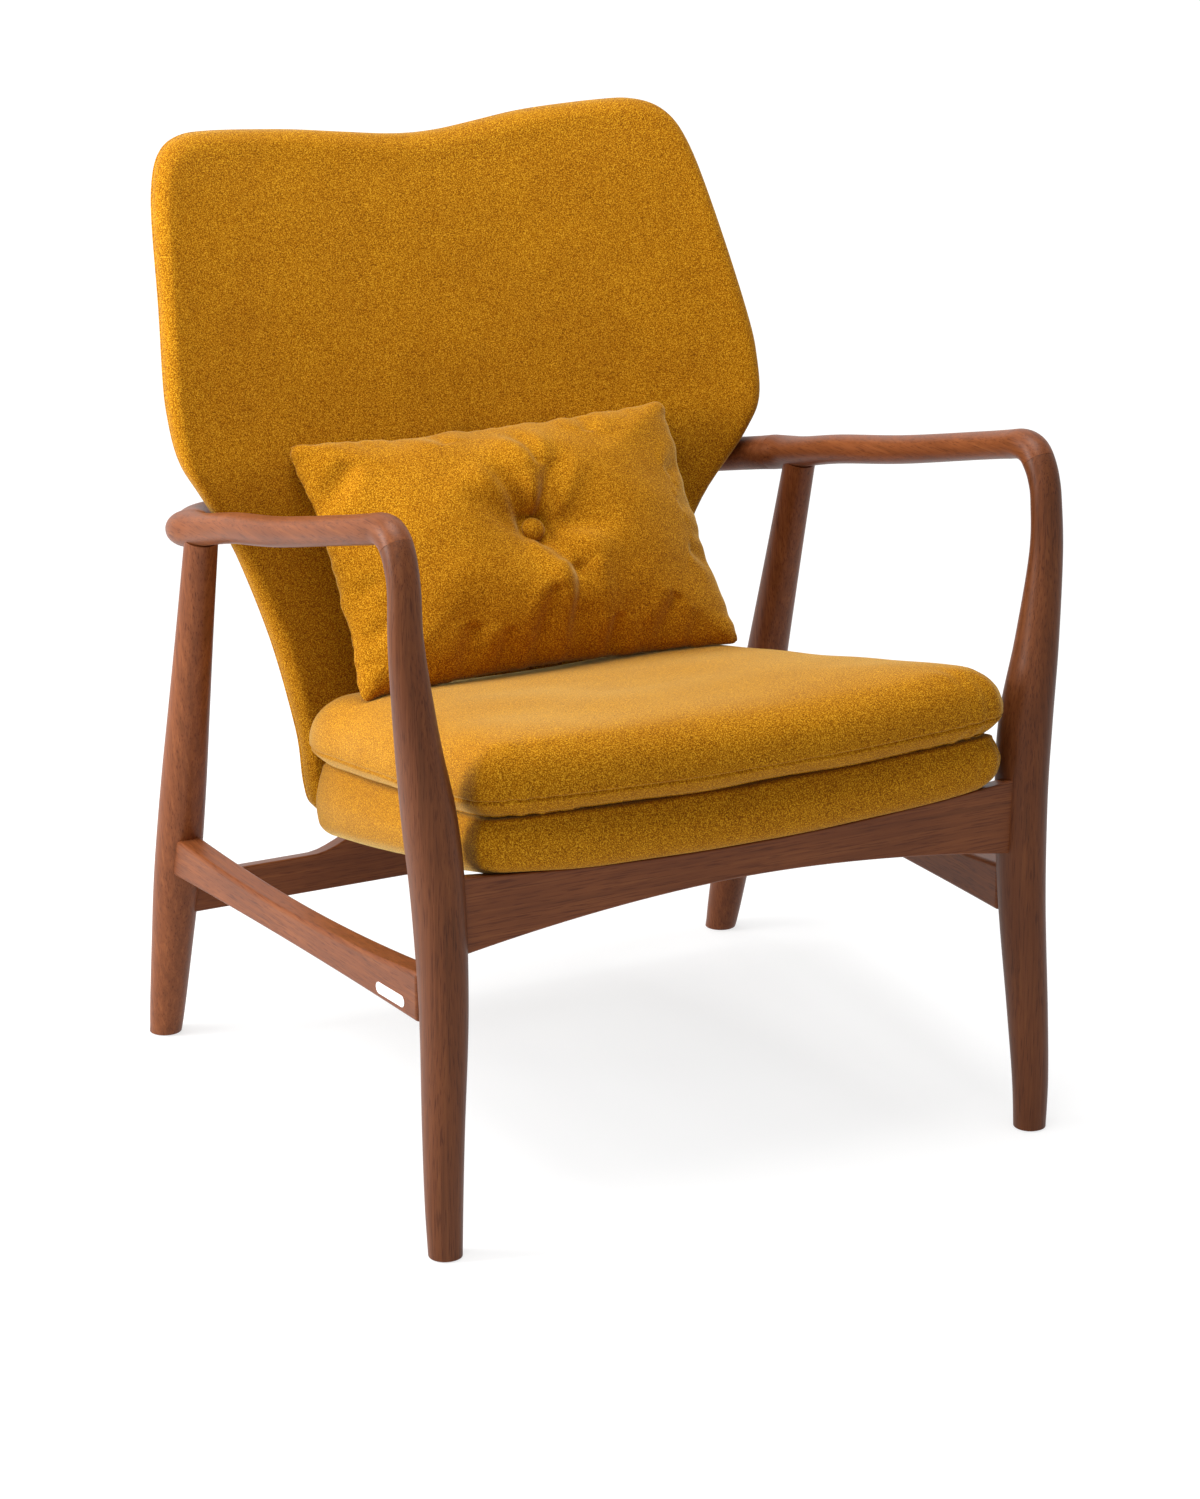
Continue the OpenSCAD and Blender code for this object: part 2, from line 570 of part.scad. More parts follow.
function cushion_up(e) = [
  [e, 1, cushion_seam], [e + 1, 1, cushion_seam + cushion_rise * 0.25],
  [e * 0.8 + 8, 1, cushion_seam + cushion_rise * 0.5 - e * 0.3],
  [e * 0.6 + 22, 1, cushion_seam + cushion_rise * 0.72 - e * 0.7],
  [44, 1, cushion_seam + cushion_rise * 0.86 - e],
  [44, 0.8, cushion_seam + cushion_rise * 0.95 - e],
  [44, 0.5, cushion_t - e], [44, 0.2, cushion_t - e]];

// Lumbar pillow: stands on the cushion and leans on the back.
pillow_tilt = 37;
pillow_c = [0, rear_y - 146.3, seat_height + 142];
pillow_up_v = [0, sin(pillow_tilt), cos(pillow_tilt)];
pillow_out_v = [0, -cos(pillow_tilt), sin(pillow_tilt)];
function pillow_point(p, h) = pillow_c + [p[0], 0, 0] + pillow_up_v * p[1] + pillow_out_v * h;
pillow_front_t = pillow_t * 0.6;
pillow_rear_t = pillow_t - pillow_front_t;
pillow_a = pillow_w / 2;
pillow_b = pillow_h / 2;
pull = 9;  // how far the sides draw in between the corners
pillow_half = [
  [0, pull - pillow_b], [pillow_a * 0.5, pull * 0.7 - pillow_b],
  [pillow_a * 0.85, 2 - pillow_b], [pillow_a - 3, 2 - pillow_b],
  [pillow_a - 2, -pillow_b * 0.8], [pillow_a - pull * 0.8, -pillow_b * 0.4],
  [pillow_a - pull, 0],
  [pillow_a - pull * 0.8, pillow_b * 0.4], [pillow_a - 2, pillow_b * 0.8],
  [pillow_a - 3, pillow_b - 2], [pillow_a * 0.85, pillow_b - 2],
  [pillow_a * 0.5, pillow_b - pull * 0.7], [0, pillow_b - pull],
];
pillow_o = half_loop(through(pillow_half, 2));
function pillow_rings(list) = [for (q = list)
  [for (p = shrink(pillow_o, [0, 0], q[1], q[0])) pillow_point(p, q[2])]];
function pillow_side(e, k) = [for (q = [[1, 0], [0.97, 0.16], [0.9, 0.36], [0.75, 0.67],
                                        [0.52, 0.95], [0.28, 0.92], [0.06, 0.62]])
  [e, q[0], k * max(0, q[1] * (k > 0 ? pillow_front_t : pillow_rear_t) - e * min(1, q[1] * 4))]];
tuft_front = 0.62 * pillow_front_t;
tuft_rear = 0.62 * pillow_rear_t;
module pillow_panel(k) {
  inner = pillow_side(cloth, k);
  outer = pillow_side(0, k);
  list = k > 0 ? concat(reversed(inner), outer) : concat(reversed(outer), inner);
  crowned_solid(pillow_rings(list));
}

// Frame on the pillow: third axis out of its face, second axis up it.
module on_pillow() {
  translate(pillow_c)
    rotate([90 - pillow_tilt, 0, 0])
      children();
}

// ---- fasteners and small parts -------------------------------------------
bolt_x = 70;
bolt_r = 4;
bush_r = 13;
head_r = 9;
head_t = 5;
nut_r = 5.5;
flange_r = 11;
flange_t = 2;
bolt_z = bar_point(bolt_x)[2];
bar_mid_y = bar_point(bolt_x)[1];
function panel_rear_y(x, z) = back_point([x, z], back_t / 2 - cloth)[1];
function panel_front_y(x, z) = back_point([x, z], ply_front)[1];
bush_y0 = panel_rear_y(bolt_x, bolt_z) - 3;
bush_y1 = bar_mid_y - bar_a + 5;
head_y = bar_mid_y + bar_a - 4;
nut_y = panel_front_y(bolt_x, bolt_z) - 1;

// Cylinder along +Y from one depth to another at both bolt places.
module at_bolts(r, y0, y1) {
  for (e = [-1, 1])
    translate([e * bolt_x, y0, bolt_z])
      rotate([-90, 0, 0])
        cylinder(r = r, h = y1 - y0, $fn = 48);
}
module bush_bodies() {
  at_bolts(bush_r, bush_y0, bush_y1);
}
module bolt_bodies() {
  at_bolts(bolt_r, nut_y, head_y + head_t);
  at_bolts(head_r, head_y, head_y + head_t);
}
module nut_bodies() {
  at_bolts(nut_r, nut_y, bush_y0 - 1);
  at_bolts(flange_r, nut_y - flange_t, nut_y);
}

// Angle brackets hold the back's lower edge to the seat pan.
bracket_x = 66;
bracket_w = 30;
bracket_t = 2.5;
bracket_rise = 52;
bracket_face_y = back_point([bracket_x, back_z0 + 30], back_t / 2)[1] + 1;
bracket_z = seat_point([bracket_x, bracket_face_y], pan_t)[2] + 1.5;
bracket_reach = pan_rear_y - bracket_face_y - 2;
screw_r = 2.4;
screw_head_r = 5;
screw_head_t = 2.5;
module bracket_bodies() {
  for (e = [-1, 1])
    translate([e * bracket_x - bracket_w / 2, bracket_face_y, bracket_z])
      rotate([-atan(seat_fall), 0, 0]) {
        cube([bracket_w, bracket_reach, bracket_t]);
        cube([bracket_w, bracket_t, bracket_rise]);
      }
}

// Seat screws: up through the front and rear rails into the pan.
seat_screw_x = [0.55 * front_rail_half, 0.45 * rear_rise_half];
seat_screw_y = [front_rail_y, rear_rail_y];
seat_screw_r = 2.5;
seat_screw_head_r = 5.5;
seat_screw_head_t = 3;
screw_bite = 8;
screw_depth = 24;
module seat_screw_set(head_l) {
  for (i = [0, 1], e = [-1, 1])
    let (z = pan_z([seat_screw_x[i], seat_screw_y[i]]))
      translate([e * seat_screw_x[i], seat_screw_y[i], z]) {
        translate([0, 0, -screw_depth])
          cylinder(r = seat_screw_r, h = screw_depth + screw_bite, $fn = 32);
        translate([0, 0, -screw_depth - head_l])
          cylinder(r = seat_screw_head_r, h = head_l, $fn = 32);
      }
}

// Blank plate: a slot-shaped inlay on the left side rail.
plate_l = 50;
plate_h = 10;
plate_t = 1;
plate_proud = 0.5;
plate_s = 63;
module plate_body() {
  left()
    on_side_rail()
      translate([plate_s, mix(side_bottom(plate_s), side_top(plate_s), 0.28),
                 rail_t / 2 + plate_proud - plate_t])
        rotate([0, 0, -2])
          linear_extrude(height = plate_t)
            slot_outline(plate_l, plate_h / 2);
}
module slot_outline(l, r) {
  square([l - 2 * r, 2 * r], center = true);
  for (e = [-1, 1])
    translate([e * (l / 2 - r), 0])
      circle(r = r, $fn = 48);
}

// Foot glides: a disc with a pin under every foot.
pin_r = 2;
pin_l = 12;
module glide_at(x, y) {
  translate([x, y, 0])
    cylinder(r = glide_r, h = glide_t, $fn = 48);
  translate([x, y, glide_t / 2])
    cylinder(r = pin_r, h = glide_t / 2 + pin_l, $fn = 32);
}
module glide_bodies() {
  for (e = [-1, 1]) {
    glide_at(e * front_x, front_y);
    glide_at(e * rear_x, rear_y);
  }
}

module placed() {
  translate([0, -mid_y, 0])
    children();
}
front_reach = min([for (r = cushion_rings(cushion_up(0)), p = r) p[1]]);
rear_reach = max([for (r = back_rings(back_rear(0)), p = r) p[1]]);
mid_y = (front_reach + rear_reach) / 2;

// ---- nodes ---------------------------------------------------------------
module front_leg_right() {
  placed()
    difference() {
      front_leg();
      glide_bodies();
    }
}
module front_leg_left() {
  left()
    front_leg_right();
}
module rear_leg_right() {
  placed()
    difference() {
      rear_leg();
      glide_bodies();
    }
}
module rear_leg_left() {
  left()
    rear_leg_right();
}
module armrest_right() {
  placed()
    armrest();
}
module armrest_left() {
  left()
    armrest_right();
}
module back_crossbar() {
  placed()
    color(walnut)
      difference() {
        ring_solid(bar_rings);
        crossbar_dowel_pair();
        left()
          crossbar_dowel_pair();
        bush_bodies();
        bolt_bodies();
        at_bolts(head_r, head_y, head_y + bar_a * 2);
      }
}
module side_rail_right() {
  placed()
    color(walnut)
      side_rail_solid();
}
module side_rail_left() {
  placed()
    color(walnut)
      difference() {
        left()
          side_rail_solid();
        plate_body();
      }
}
module front_rail() {
  placed()
    color(walnut)
      difference() {
        front_rail_solid();
        seat_screw_set(60);
      }
}
module rear_rail() {
  placed()
    color(walnut)
      difference() {
        rear_rail_solid();
        seat_screw_set(80);
      }
}
module blank_plate() {
  placed()
    color(plate_tone)
      plate_body();
}
module foot_glides() {
  placed()
    color(nylon_tone)
      glide_bodies();
}
module arm_dowels() {
  placed()
    color(ply_tone) {
      arm_dowel_pair();
      left()
        arm_dowel_pair();
    }
}
module crossbar_dowels() {
  placed()
    color(ply_tone) {
      crossbar_dowel_pair();
      left()
        crossbar_dowel_pair();
    }
}
module seat_pan() {
  placed()
    color(ply_tone)
      difference() {
        union() {
          seat_pan_body();
          seat_tail();
        }
        seat_screw_set(1);
        bracket_screw_bodies();
      }
}
module seat_foam() {
  placed()
    color(foam_tone)
      seat_foam_solid();
}
module seat_cover() {
  placed()
    color(velvet)
      difference() {
        seat_cover_solid();
        seat_tail(-slot_gap, pan_t + slot_gap);
      }
}
dust_t = 0.8;
dust_gap = 0.3;
module dust_cover() {
  a = seat_b - 8;
  y0 = front_rail_y + rail_t / 2 + 4;
  y1 = seat_rear_y - 6;
  n = 8;
  placed()
    color(black_tone)
      ring_solid([for (i = [-n : n]) let (x = a * i / n, p = [x, y0], q = [x, y1])
        [seat_point(p, -dust_gap - dust_t), seat_point(q, -dust_gap - dust_t),
         seat_point(q, -dust_gap), seat_point(p, -dust_gap)]]);
}
module seat_screws() {
  placed()
    color(steel_tone)
      seat_screw_set(seat_screw_head_t);
}
module back_panel() {
  placed()
    color(ply_tone)
      difference() {
        back_panel_solid();
        bush_bodies();
        nut_bodies();
        bolt_bodies();
        bracket_screw_bodies();
      }
}
module back_foam() {
  placed()
    color(foam_tone)
      difference() {
        back_foam_solid();
        nut_bodies();
      }
}
module back_front_cover() {
  placed()
    color(velvet)
      back_front_solid();
}
module back_rear_cover() {
  placed()
    color(velvet)
      difference() {
        back_rear_solid();
        bush_bodies();
        bracket_screw_bodies();
      }
}
module back_bushes() {
  placed()
    color(walnut)
      difference() {
        bush_bodies();
        bolt_bodies();
      }
}
module back_bolts() {
  placed()
    color(steel_tone)
      bolt_bodies();
}
module back_nuts() {
  placed()
    color(steel_tone)
      difference() {
        nut_bodies();
        bolt_bodies();
      }
}
module bracket_screw_bodies() {
  for (e = [-1, 1])
    translate([e * bracket_x, bracket_face_y, bracket_z])
      rotate([-atan(seat_fall), 0, 0]) {
        translate([0, bracket_reach * 0.6, bracket_t])
          rotate([180, 0, 0])
            screw_body();
        translate([0, bracket_t, bracket_rise * 0.75])
          rotate([90, 0, 0])
            screw_body();
      }
}
// Screw whose shaft runs along +Z from the surface at Z = 0, head behind it.
screw_l = 10;
module screw_body() {
  cylinder(r = screw_r, h = screw_l, $fn = 32);
  translate([0, 0, -screw_head_t])
    cylinder(r = screw_head_r, h = screw_head_t, $fn = 32);
}
module back_brackets() {
  placed()
    color(steel_tone)
      difference() {
        bracket_bodies();
        bracket_screw_bodies();
      }
}
module bracket_screws() {
  placed()
    color(steel_tone)
      bracket_screw_bodies();
}
module cushion_core() {
  low = cushion_low(cloth);
  up = cushion_up(cloth);
  placed()
    color(foam_tone)
      crowned_solid(cushion_rings(concat(reversed(low), [for (i = [1 : len(up) - 1]) up[i]])));
}
module cushion_top_panel() {
  placed()
    color(velvet)
      crowned_solid(cushion_rings(concat(reversed(cushion_up(cloth)), cushion_up(0))));
}
module cushion_bottom_panel() {
  placed()
    color(velvet)
      crowned_solid(cushion_rings(concat(reversed(cushion_low(0)), cushion_low(cloth))));
}
module twine_body(r) {
  on_pillow()
    translate([0, 0, -tuft_rear])
      cylinder(r = r, h = tuft_rear + tuft_front, $fn = 24);
}
twine_r = 1;
module pillow_fill() {
  rear = pillow_side(cloth, -1);
  front = pillow_side(cloth, 1);
  placed()
    color(foam_tone)
      difference() {
        crowned_solid(pillow_rings(concat(reversed(rear), [for (i = [1 : len(front) - 1]) front[i]])));
        twine_body(twine_r);
      }
}
module pillow_front_panel() {
  placed()
    color(velvet)
      difference() {
        pillow_panel(1);
        twine_body(twine_r);
        button_bodies();
      }
}
module pillow_rear_panel() {
  placed()
    color(velvet)
      difference() {
        pillow_panel(-1);
        twine_body(twine_r);
        button_bodies();
      }
}
module button_body() {
  r = button_d / 2;
  rotate_extrude($fn = 48)
    polygon([[0, 0], [r - 2, 0], [r, 2], [r - 0.5, 3.5], [r * 0.7, 5.5], [r * 0.35, 6.6], [0, 7]]);
}
module button_bodies() {
  on_pillow() {
    translate([0, 0, tuft_front])
      button_body();
    translate([0, 0, -tuft_rear])
      rotate([180, 0, 0])
        button_body();
  }
}
module pillow_buttons() {
  placed()
    color(velvet)
      button_bodies();
}
module pillow_twine() {
  placed()
    color(foam_tone)
      twine_body(twine_r);
}

front_leg_left();
front_leg_right();
rear_leg_left();
rear_leg_right();
armrest_left();
armrest_right();
back_crossbar();
side_rail_left();
side_rail_right();
front_rail();
rear_rail();
blank_plate();
foot_glides();
arm_dowels();
crossbar_dowels();
seat_pan();
seat_foam();
seat_cover();
dust_cover();
seat_screws();
back_panel();
back_foam();
back_front_cover();
back_rear_cover();
back_bushes();
back_bolts();
back_nuts();
back_brackets();
bracket_screws();
cushion_core();
cushion_top_panel();
cushion_bottom_panel();
pillow_fill();
pillow_front_panel();
pillow_rear_panel();
pillow_buttons();
pillow_twine();
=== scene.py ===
from math import cos, pi, radians, sin

import bmesh
import bpy
import numpy as np
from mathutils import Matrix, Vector
from mathutils.kdtree import KDTree


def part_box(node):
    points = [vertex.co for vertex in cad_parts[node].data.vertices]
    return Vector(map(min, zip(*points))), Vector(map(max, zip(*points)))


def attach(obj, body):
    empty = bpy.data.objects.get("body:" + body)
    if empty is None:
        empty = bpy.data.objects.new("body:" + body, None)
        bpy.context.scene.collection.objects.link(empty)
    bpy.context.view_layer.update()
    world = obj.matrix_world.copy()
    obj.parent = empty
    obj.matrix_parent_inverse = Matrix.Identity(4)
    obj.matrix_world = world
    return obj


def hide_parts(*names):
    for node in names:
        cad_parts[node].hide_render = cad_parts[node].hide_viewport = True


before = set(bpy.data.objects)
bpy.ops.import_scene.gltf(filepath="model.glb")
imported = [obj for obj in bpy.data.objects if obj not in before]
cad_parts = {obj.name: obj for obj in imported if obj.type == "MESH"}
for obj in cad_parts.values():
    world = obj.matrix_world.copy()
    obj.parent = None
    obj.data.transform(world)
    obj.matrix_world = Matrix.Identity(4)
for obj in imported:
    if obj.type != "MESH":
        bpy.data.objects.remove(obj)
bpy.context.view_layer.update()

# ---- Side frames: armrests and front legs --------------------------------------
# Each armrest and front leg is one sweep of stained ash, shaped by hand and joined
# on a mitre at the front corner. The timber is oval, fullest where the rails enter.


def mix(a, b, t):
    return a + (b - a) * t


def unit(v):
    return v / np.linalg.norm(v)


def through(stops, steps):
    """A smooth line through the stops, as one array with steps points between two stops."""
    stops = np.array(stops, float)
    last = len(stops) - 1
    line = []
    for i in range(last):
        a, b, c, d = (stops[max(i - 1, 0)], stops[i], stops[i + 1], stops[min(i + 2, last)])
        for k in range(steps):
            t = k / steps
            line.append(0.5 * (2 * b + (c - a) * t + (2 * a - 5 * b + 4 * c - d) * t * t
                               + (3 * b - a - 3 * c + d) * t ** 3))
    line.append(stops[last])
    return np.array(line)


def oval_ring(centre, along, down, half_w, half_t, points=40, power=0.96):
    """A ring of points around a timber section."""
    side = unit(np.cross(down, along))
    up = np.cross(along, side)
    turn = np.arange(points) * 2 * pi / points
    c = np.sign(np.cos(turn)) * np.abs(np.cos(turn)) ** power
    s = np.sign(np.sin(turn)) * np.abs(np.sin(turn)) ** power
    return centre + np.outer(c, side) * half_w + np.outer(s, up) * half_t


foot_span_y = 577.0
front_y = -foot_span_y / 2
rear_y = foot_span_y / 2
glide_r = 11.0
centre_y = front_y - glide_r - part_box("foot_glides")[0].y * 1000


def in_frame(points):
    """Shop drawing millimetres, measured from the middle of the feet, to row metres."""
    return (np.asarray(points, float) - (0, centre_y, 0)) / 1000


def mesh_piece(name, points, faces):
    """A new object from points in millimetres, with its faces turned outwards."""
    mesh = bpy.data.meshes.new(name)
    mesh.from_pydata(in_frame(points).tolist(), [], faces)
    work = bmesh.new()
    work.from_mesh(mesh)
    bmesh.ops.recalc_face_normals(work, faces=work.faces)
    work.to_mesh(mesh)
    work.free()
    mesh.shade_smooth()
    piece = bpy.data.objects.new(name, mesh)
    bpy.context.scene.collection.objects.link(piece)
    return piece


def loft(name, rings, crowned=False):
    """A closed skin over rings of equal length. Its ends are flat, or fanned to a middle."""
    n = len(rings[0])
    m = len(rings)
    points = np.concatenate(rings)
    faces = [(i * n + k, i * n + (k + 1) % n, (i + 1) * n + (k + 1) % n, (i + 1) * n + k)
             for i in range(m - 1) for k in range(n)]
    if crowned:
        points = np.concatenate([points, [rings[0].mean(0)], [rings[-1].mean(0)]])
        faces += [(k, (k + 1) % n, m * n) for k in range(n)]
        faces += [((m - 1) * n + k, (m - 1) * n + (k + 1) % n, m * n + 1) for k in range(n)]
    else:
        faces += [tuple(range(n)), tuple(range((m - 1) * n, m * n))]
    return mesh_piece(name, points, faces)


def mirrored(rings):
    return [ring * (-1, 1, 1) for ring in rings]


def ease_edges(piece, width_mm, degrees=40, segments=3):
    """Rounds the sharp edges, as a hand plane or a router leaves them."""
    bevel = piece.modifiers.new("eased edges", "BEVEL")
    bevel.limit_method = "ANGLE"
    bevel.angle_limit = radians(degrees)
    bevel.width = width_mm / 1000
    bevel.segments = segments
    bevel.harden_normals = True


def linear(code):
    """An sRGB hex colour as linear red, green, blue and alpha."""
    parts = [int(code[i:i + 2], 16) / 255 for i in (1, 3, 5)]
    return [p / 12.92 if p <= 0.04045 else ((p + 0.055) / 1.055) ** 2.4 for p in parts] + [1]


def new_material(name):
    finish = bpy.data.materials.new(name)
    finish.use_nodes = True
    finish.node_tree.nodes.clear()
    return finish


def add(finish, kind, settings=None, **links):
    """Adds a node. Each link is an input's value, or a (node, output) pair joined to it."""
    node = finish.node_tree.nodes.new("ShaderNode" + kind)
    for key, value in (settings or {}).items():
        setattr(node, key, value)
    for key, value in links.items():
        socket = node.inputs[int(key[1:])] if key[0] == "i" and key[1:].isdigit() \
            else node.inputs[key.replace("_", " ")]
        if isinstance(value, tuple) and hasattr(value[0], "outputs"):
            finish.node_tree.links.new(value[0].outputs[value[1]], socket)
        else:
            socket.default_value = value
    return node


def ramp(finish, source, stops):
    """A colour ramp over the stops, each a place and a hex colour."""
    node = add(finish, "ValToRGB", Fac=source)
    bar = node.color_ramp
    while len(bar.elements) < len(stops):
        bar.elements.new(0.5)
    for element, (place, code) in zip(bar.elements, stops):
        element.position = place
        element.color = linear(code)
    return node


def stained_ash(name, grain_axis, painted_shade=0.0):
    """Ash, walnut-stained and satin-lacquered: a warm brown with fine dark pores that run
    along the grain, and a soft broad gloss. Growth bands are 3.5 mm apart, pores 0.9 mm.
    The last argument darkens the whole colour evenly: a painted shade for pieces that the lamps
    leave darker."""
    finish = new_material(name)
    across_bands, along_bands = 1000 / 3.5, 1000 / 240
    across_pores, along_pores = 1000 / 0.9, 1000 / 26
    place = add(finish, "TexCoord")
    bands_scale = [across_bands] * 3
    pores_scale = [across_pores] * 3
    bands_scale["xyz".index(grain_axis)] = along_bands
    pores_scale["xyz".index(grain_axis)] = along_pores
    bands_map = add(finish, "Mapping", Vector=(place, "Object"), Scale=bands_scale)
    pores_map = add(finish, "Mapping", Vector=(place, "Object"), Scale=pores_scale)
    bands = add(finish, "TexNoise", Vector=(bands_map, 0), Scale=1.0, Detail=5.0,
                Roughness=0.6, Distortion=0.08)
    pores = add(finish, "TexNoise", Vector=(pores_map, 0), Scale=1.0, Detail=2.0, Roughness=0.5)
    cloud = add(finish, "TexNoise", Vector=(place, "Object"), Scale=9.0, Detail=2.0)
    body = ramp(finish, (bands, 0), [(0.3, "#6d3c1d"), (0.47, "#784222"), (0.58, "#804826"),
                                     (0.74, "#8a522d")])
    dark = ramp(finish, (pores, 0), [(0.34, "#9a7c6c"), (0.46, "#ffffff")])
    tone = ramp(finish, (cloud, 0), [(0.35, "#d9cfca"), (0.65, "#ffffff")])
    pored = add(finish, "Mix", {"data_type": "RGBA", "blend_type": "MULTIPLY"},
                i0=0.6, i6=(body, 0), i7=(dark, 0))
    toned = add(finish, "Mix", {"data_type": "RGBA", "blend_type": "MULTIPLY"},
                i0=0.45, i6=(pored, 2), i7=(tone, 0))
    colour = (toned, 2)
    # Painted shade: the whole colour is darkened evenly by the given share.
    if painted_shade:
        painted_shade_node = add(finish, "HueSaturation", Value=1 - painted_shade, Color=colour)
        colour = (painted_shade_node, 0)
    gloss = add(finish, "MapRange", Value=(bands, 0), To_Min=0.36, To_Max=0.5)
    relief = add(finish, "Bump", Strength=0.12, Distance=0.0004, Height=(pores, 0))
    skin = add(finish, "BsdfPrincipled", Base_Color=colour, Roughness=(gloss, 0),
               IOR=1.5, Specular_IOR_Level=0.16, Coat_Weight=0.06, Coat_Roughness=0.3,
               Normal=(relief, 0))
    add(finish, "OutputMaterial", Surface=(skin, 0))
    return finish


def finish_piece(piece, material, body, slot, *nodes):
    """Gives the piece its finish, its body and the solids that it stands for."""
    piece.data.materials.append(material)
    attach(piece, body)
    if nodes:
        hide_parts(*nodes)


seat_z = 328.0
arm_x = 309.0
arm_z = 608.0
arm_fall = 0.235
arm_half_w, arm_half_t = 16.0, 13.0
leg_half = 26.0
foot_r = 15.0
front_x = 290.0
crest_y = front_y + 70
corner_y = front_y + 42
knee_z = seat_z + 47
waist_z = arm_z - 88
arm_rear_y = rear_y - 118
arm_rear_x = arm_x - 5


def arm_line(y):
    return arm_z + 1 - arm_fall * (y - crest_y)


# Stations hold x, y, z, half width and half thickness, from the rear corner forwards.
arm_mid_y = mix(arm_rear_y, crest_y, 0.5)
arm_stations = [
    (arm_rear_x - 3, arm_rear_y + 22, arm_line(arm_rear_y + 22) + 1, arm_half_w + 5.5,
     arm_half_t + 3.5),
    (arm_rear_x + 2, arm_rear_y + 3, arm_line(arm_rear_y + 3), arm_half_w + 4.5,
     arm_half_t + 2.5),
    (arm_rear_x + 1.5, arm_rear_y - 28, arm_line(arm_rear_y - 28), arm_half_w + 2.5,
     arm_half_t + 1.2),
    (arm_x - 4, arm_rear_y - 92, arm_line(arm_rear_y - 92) + 1, arm_half_w + 1,
     arm_half_t + 0.5),
    (arm_x, arm_mid_y, arm_line(arm_mid_y) - 2, arm_half_w, arm_half_t),
    (arm_x, crest_y + 68, arm_line(crest_y + 68) - 1, arm_half_w - 0.5, arm_half_t - 0.5),
    (arm_x - 2, crest_y + 20, arm_line(crest_y + 20) - 0.5, arm_half_w - 0.8,
     arm_half_t - 0.3),
    (arm_x - 4, crest_y - 3, arm_z + 1, arm_half_w - 1.3, arm_half_t + 0.2),
    (arm_x - 4, corner_y + 10, arm_z - 1, arm_half_w - 1.8, arm_half_t + 0.8),
]
mitre = (arm_x - 4.2, corner_y, arm_z - 8.5, arm_half_w - 2.1, arm_half_t + 0.9)
leg_stations = [
    (arm_x - 4, corner_y - 8, arm_z - 22, arm_half_w - 2.4, arm_half_t + 0.3),
    (arm_x - 4, corner_y - 13, arm_z - 42, arm_half_w - 2.4, arm_half_t),
    (arm_x - 4, corner_y - 15.5, waist_z, arm_half_w - 1.2, arm_half_t + 0.9),
    (mix(front_x, arm_x, 0.38), corner_y - 17, mix(knee_z, waist_z, 0.46),
     mix(arm_half_w, leg_half, 0.2), mix(arm_half_t, leg_half, 0.63)),
    (front_x - 2, corner_y - 18, knee_z, leg_half - 4, leg_half - 0.4),
    (front_x - 7, corner_y - 22, seat_z - 20, leg_half - 4.6, leg_half + 0.3),
    (front_x - 7.5, corner_y - 29, seat_z * 0.65, leg_half - 6.6, leg_half - 2.4),
    (front_x - 2.5, front_y + 6, seat_z * 0.34, mix(foot_r, leg_half, 0.18),
     mix(foot_r, leg_half, 0.47)),
    (front_x, front_y + 1.5, seat_z * 0.14, foot_r + 0.8, foot_r + 1.2),
    (front_x, front_y, 1.0, foot_r - 0.7, foot_r - 0.7),
]
side_steps = 8
side_line = through(arm_stations + [mitre] + leg_stations, side_steps)
mitre_at = side_steps * len(arm_stations)
mitre_turn = radians(26)
corner_along = unit(np.array([sin(mitre_turn), -cos(mitre_turn),
                              arm_fall * cos(mitre_turn)]))
side_rings = []
for i, station in enumerate(side_line):
    before = side_line[max(i - 1, 0)][:3]
    after = side_line[min(i + 1, len(side_line) - 1)][:3]
    along = corner_along if i == 0 else unit(after - before)
    down = unit(np.array([0, -along[2], along[1]]))
    if i == len(side_line) - 1:
        along, down = np.array([0, 0, -1.0]), np.array([0, 1.0, 0])
    side_rings.append(oval_ring(station[:3], along, down, station[3], station[4]))

# Painted shade: the armrest copy of the ash is darkened by 0.06 and the front leg copy by 0.33, so
# that the front legs look darker than the rear legs, which have none.
arm_ash = stained_ash("ash_stained_lacquered_lengthways_painted_shade", "y", 0.06)
leg_ash = stained_ash("ash_stained_lacquered_upright_painted_shade", "z", 0.33)
for side, turn in (("right", list), ("left", mirrored)):
    armrest = loft("armrest_" + side + "_timber", turn(side_rings[:mitre_at + 1]))
    ease_edges(armrest, 0.5, 50, 2)
    finish_piece(armrest, arm_ash, "frame", "walnut_timber", "armrest_" + side)
    leg = loft("front_leg_" + side + "_timber", turn(side_rings[mitre_at:]))
    ease_edges(leg, 0.5, 50, 2)
    finish_piece(leg, leg_ash, "frame", "walnut_timber", "front_leg_" + side)

# ---- Crossbar -------------------------------------------------------------------
# Bent ash that bows rearwards from the ends of the armrests and carries the back.
# It meets each armrest on a mitre with two dowels; the glue line just shows.
corner = side_line[0]
bar_half = corner[0] - 4
bar_start_y = corner[1] + 3
bar_bow = 109.0
bar_fall = 0.2
bar_shape = [(0, 1), (0.2, 1), (0.4, 0.99), (0.56, 0.955), (0.69, 0.89), (0.79, 0.785),
             (0.87, 0.63), (0.94, 0.365), (1, 0)]
bar_line = through([(-0.2, 1)] + bar_shape, 12)
bar_start_z = corner[2] - bar_fall * (bar_start_y - corner[1])


def bar_point(x):
    back = bar_bow * np.interp(abs(x) / bar_half, bar_line[:, 0], bar_line[:, 1])
    return np.array([x, bar_start_y + back, bar_start_z - bar_fall * back])


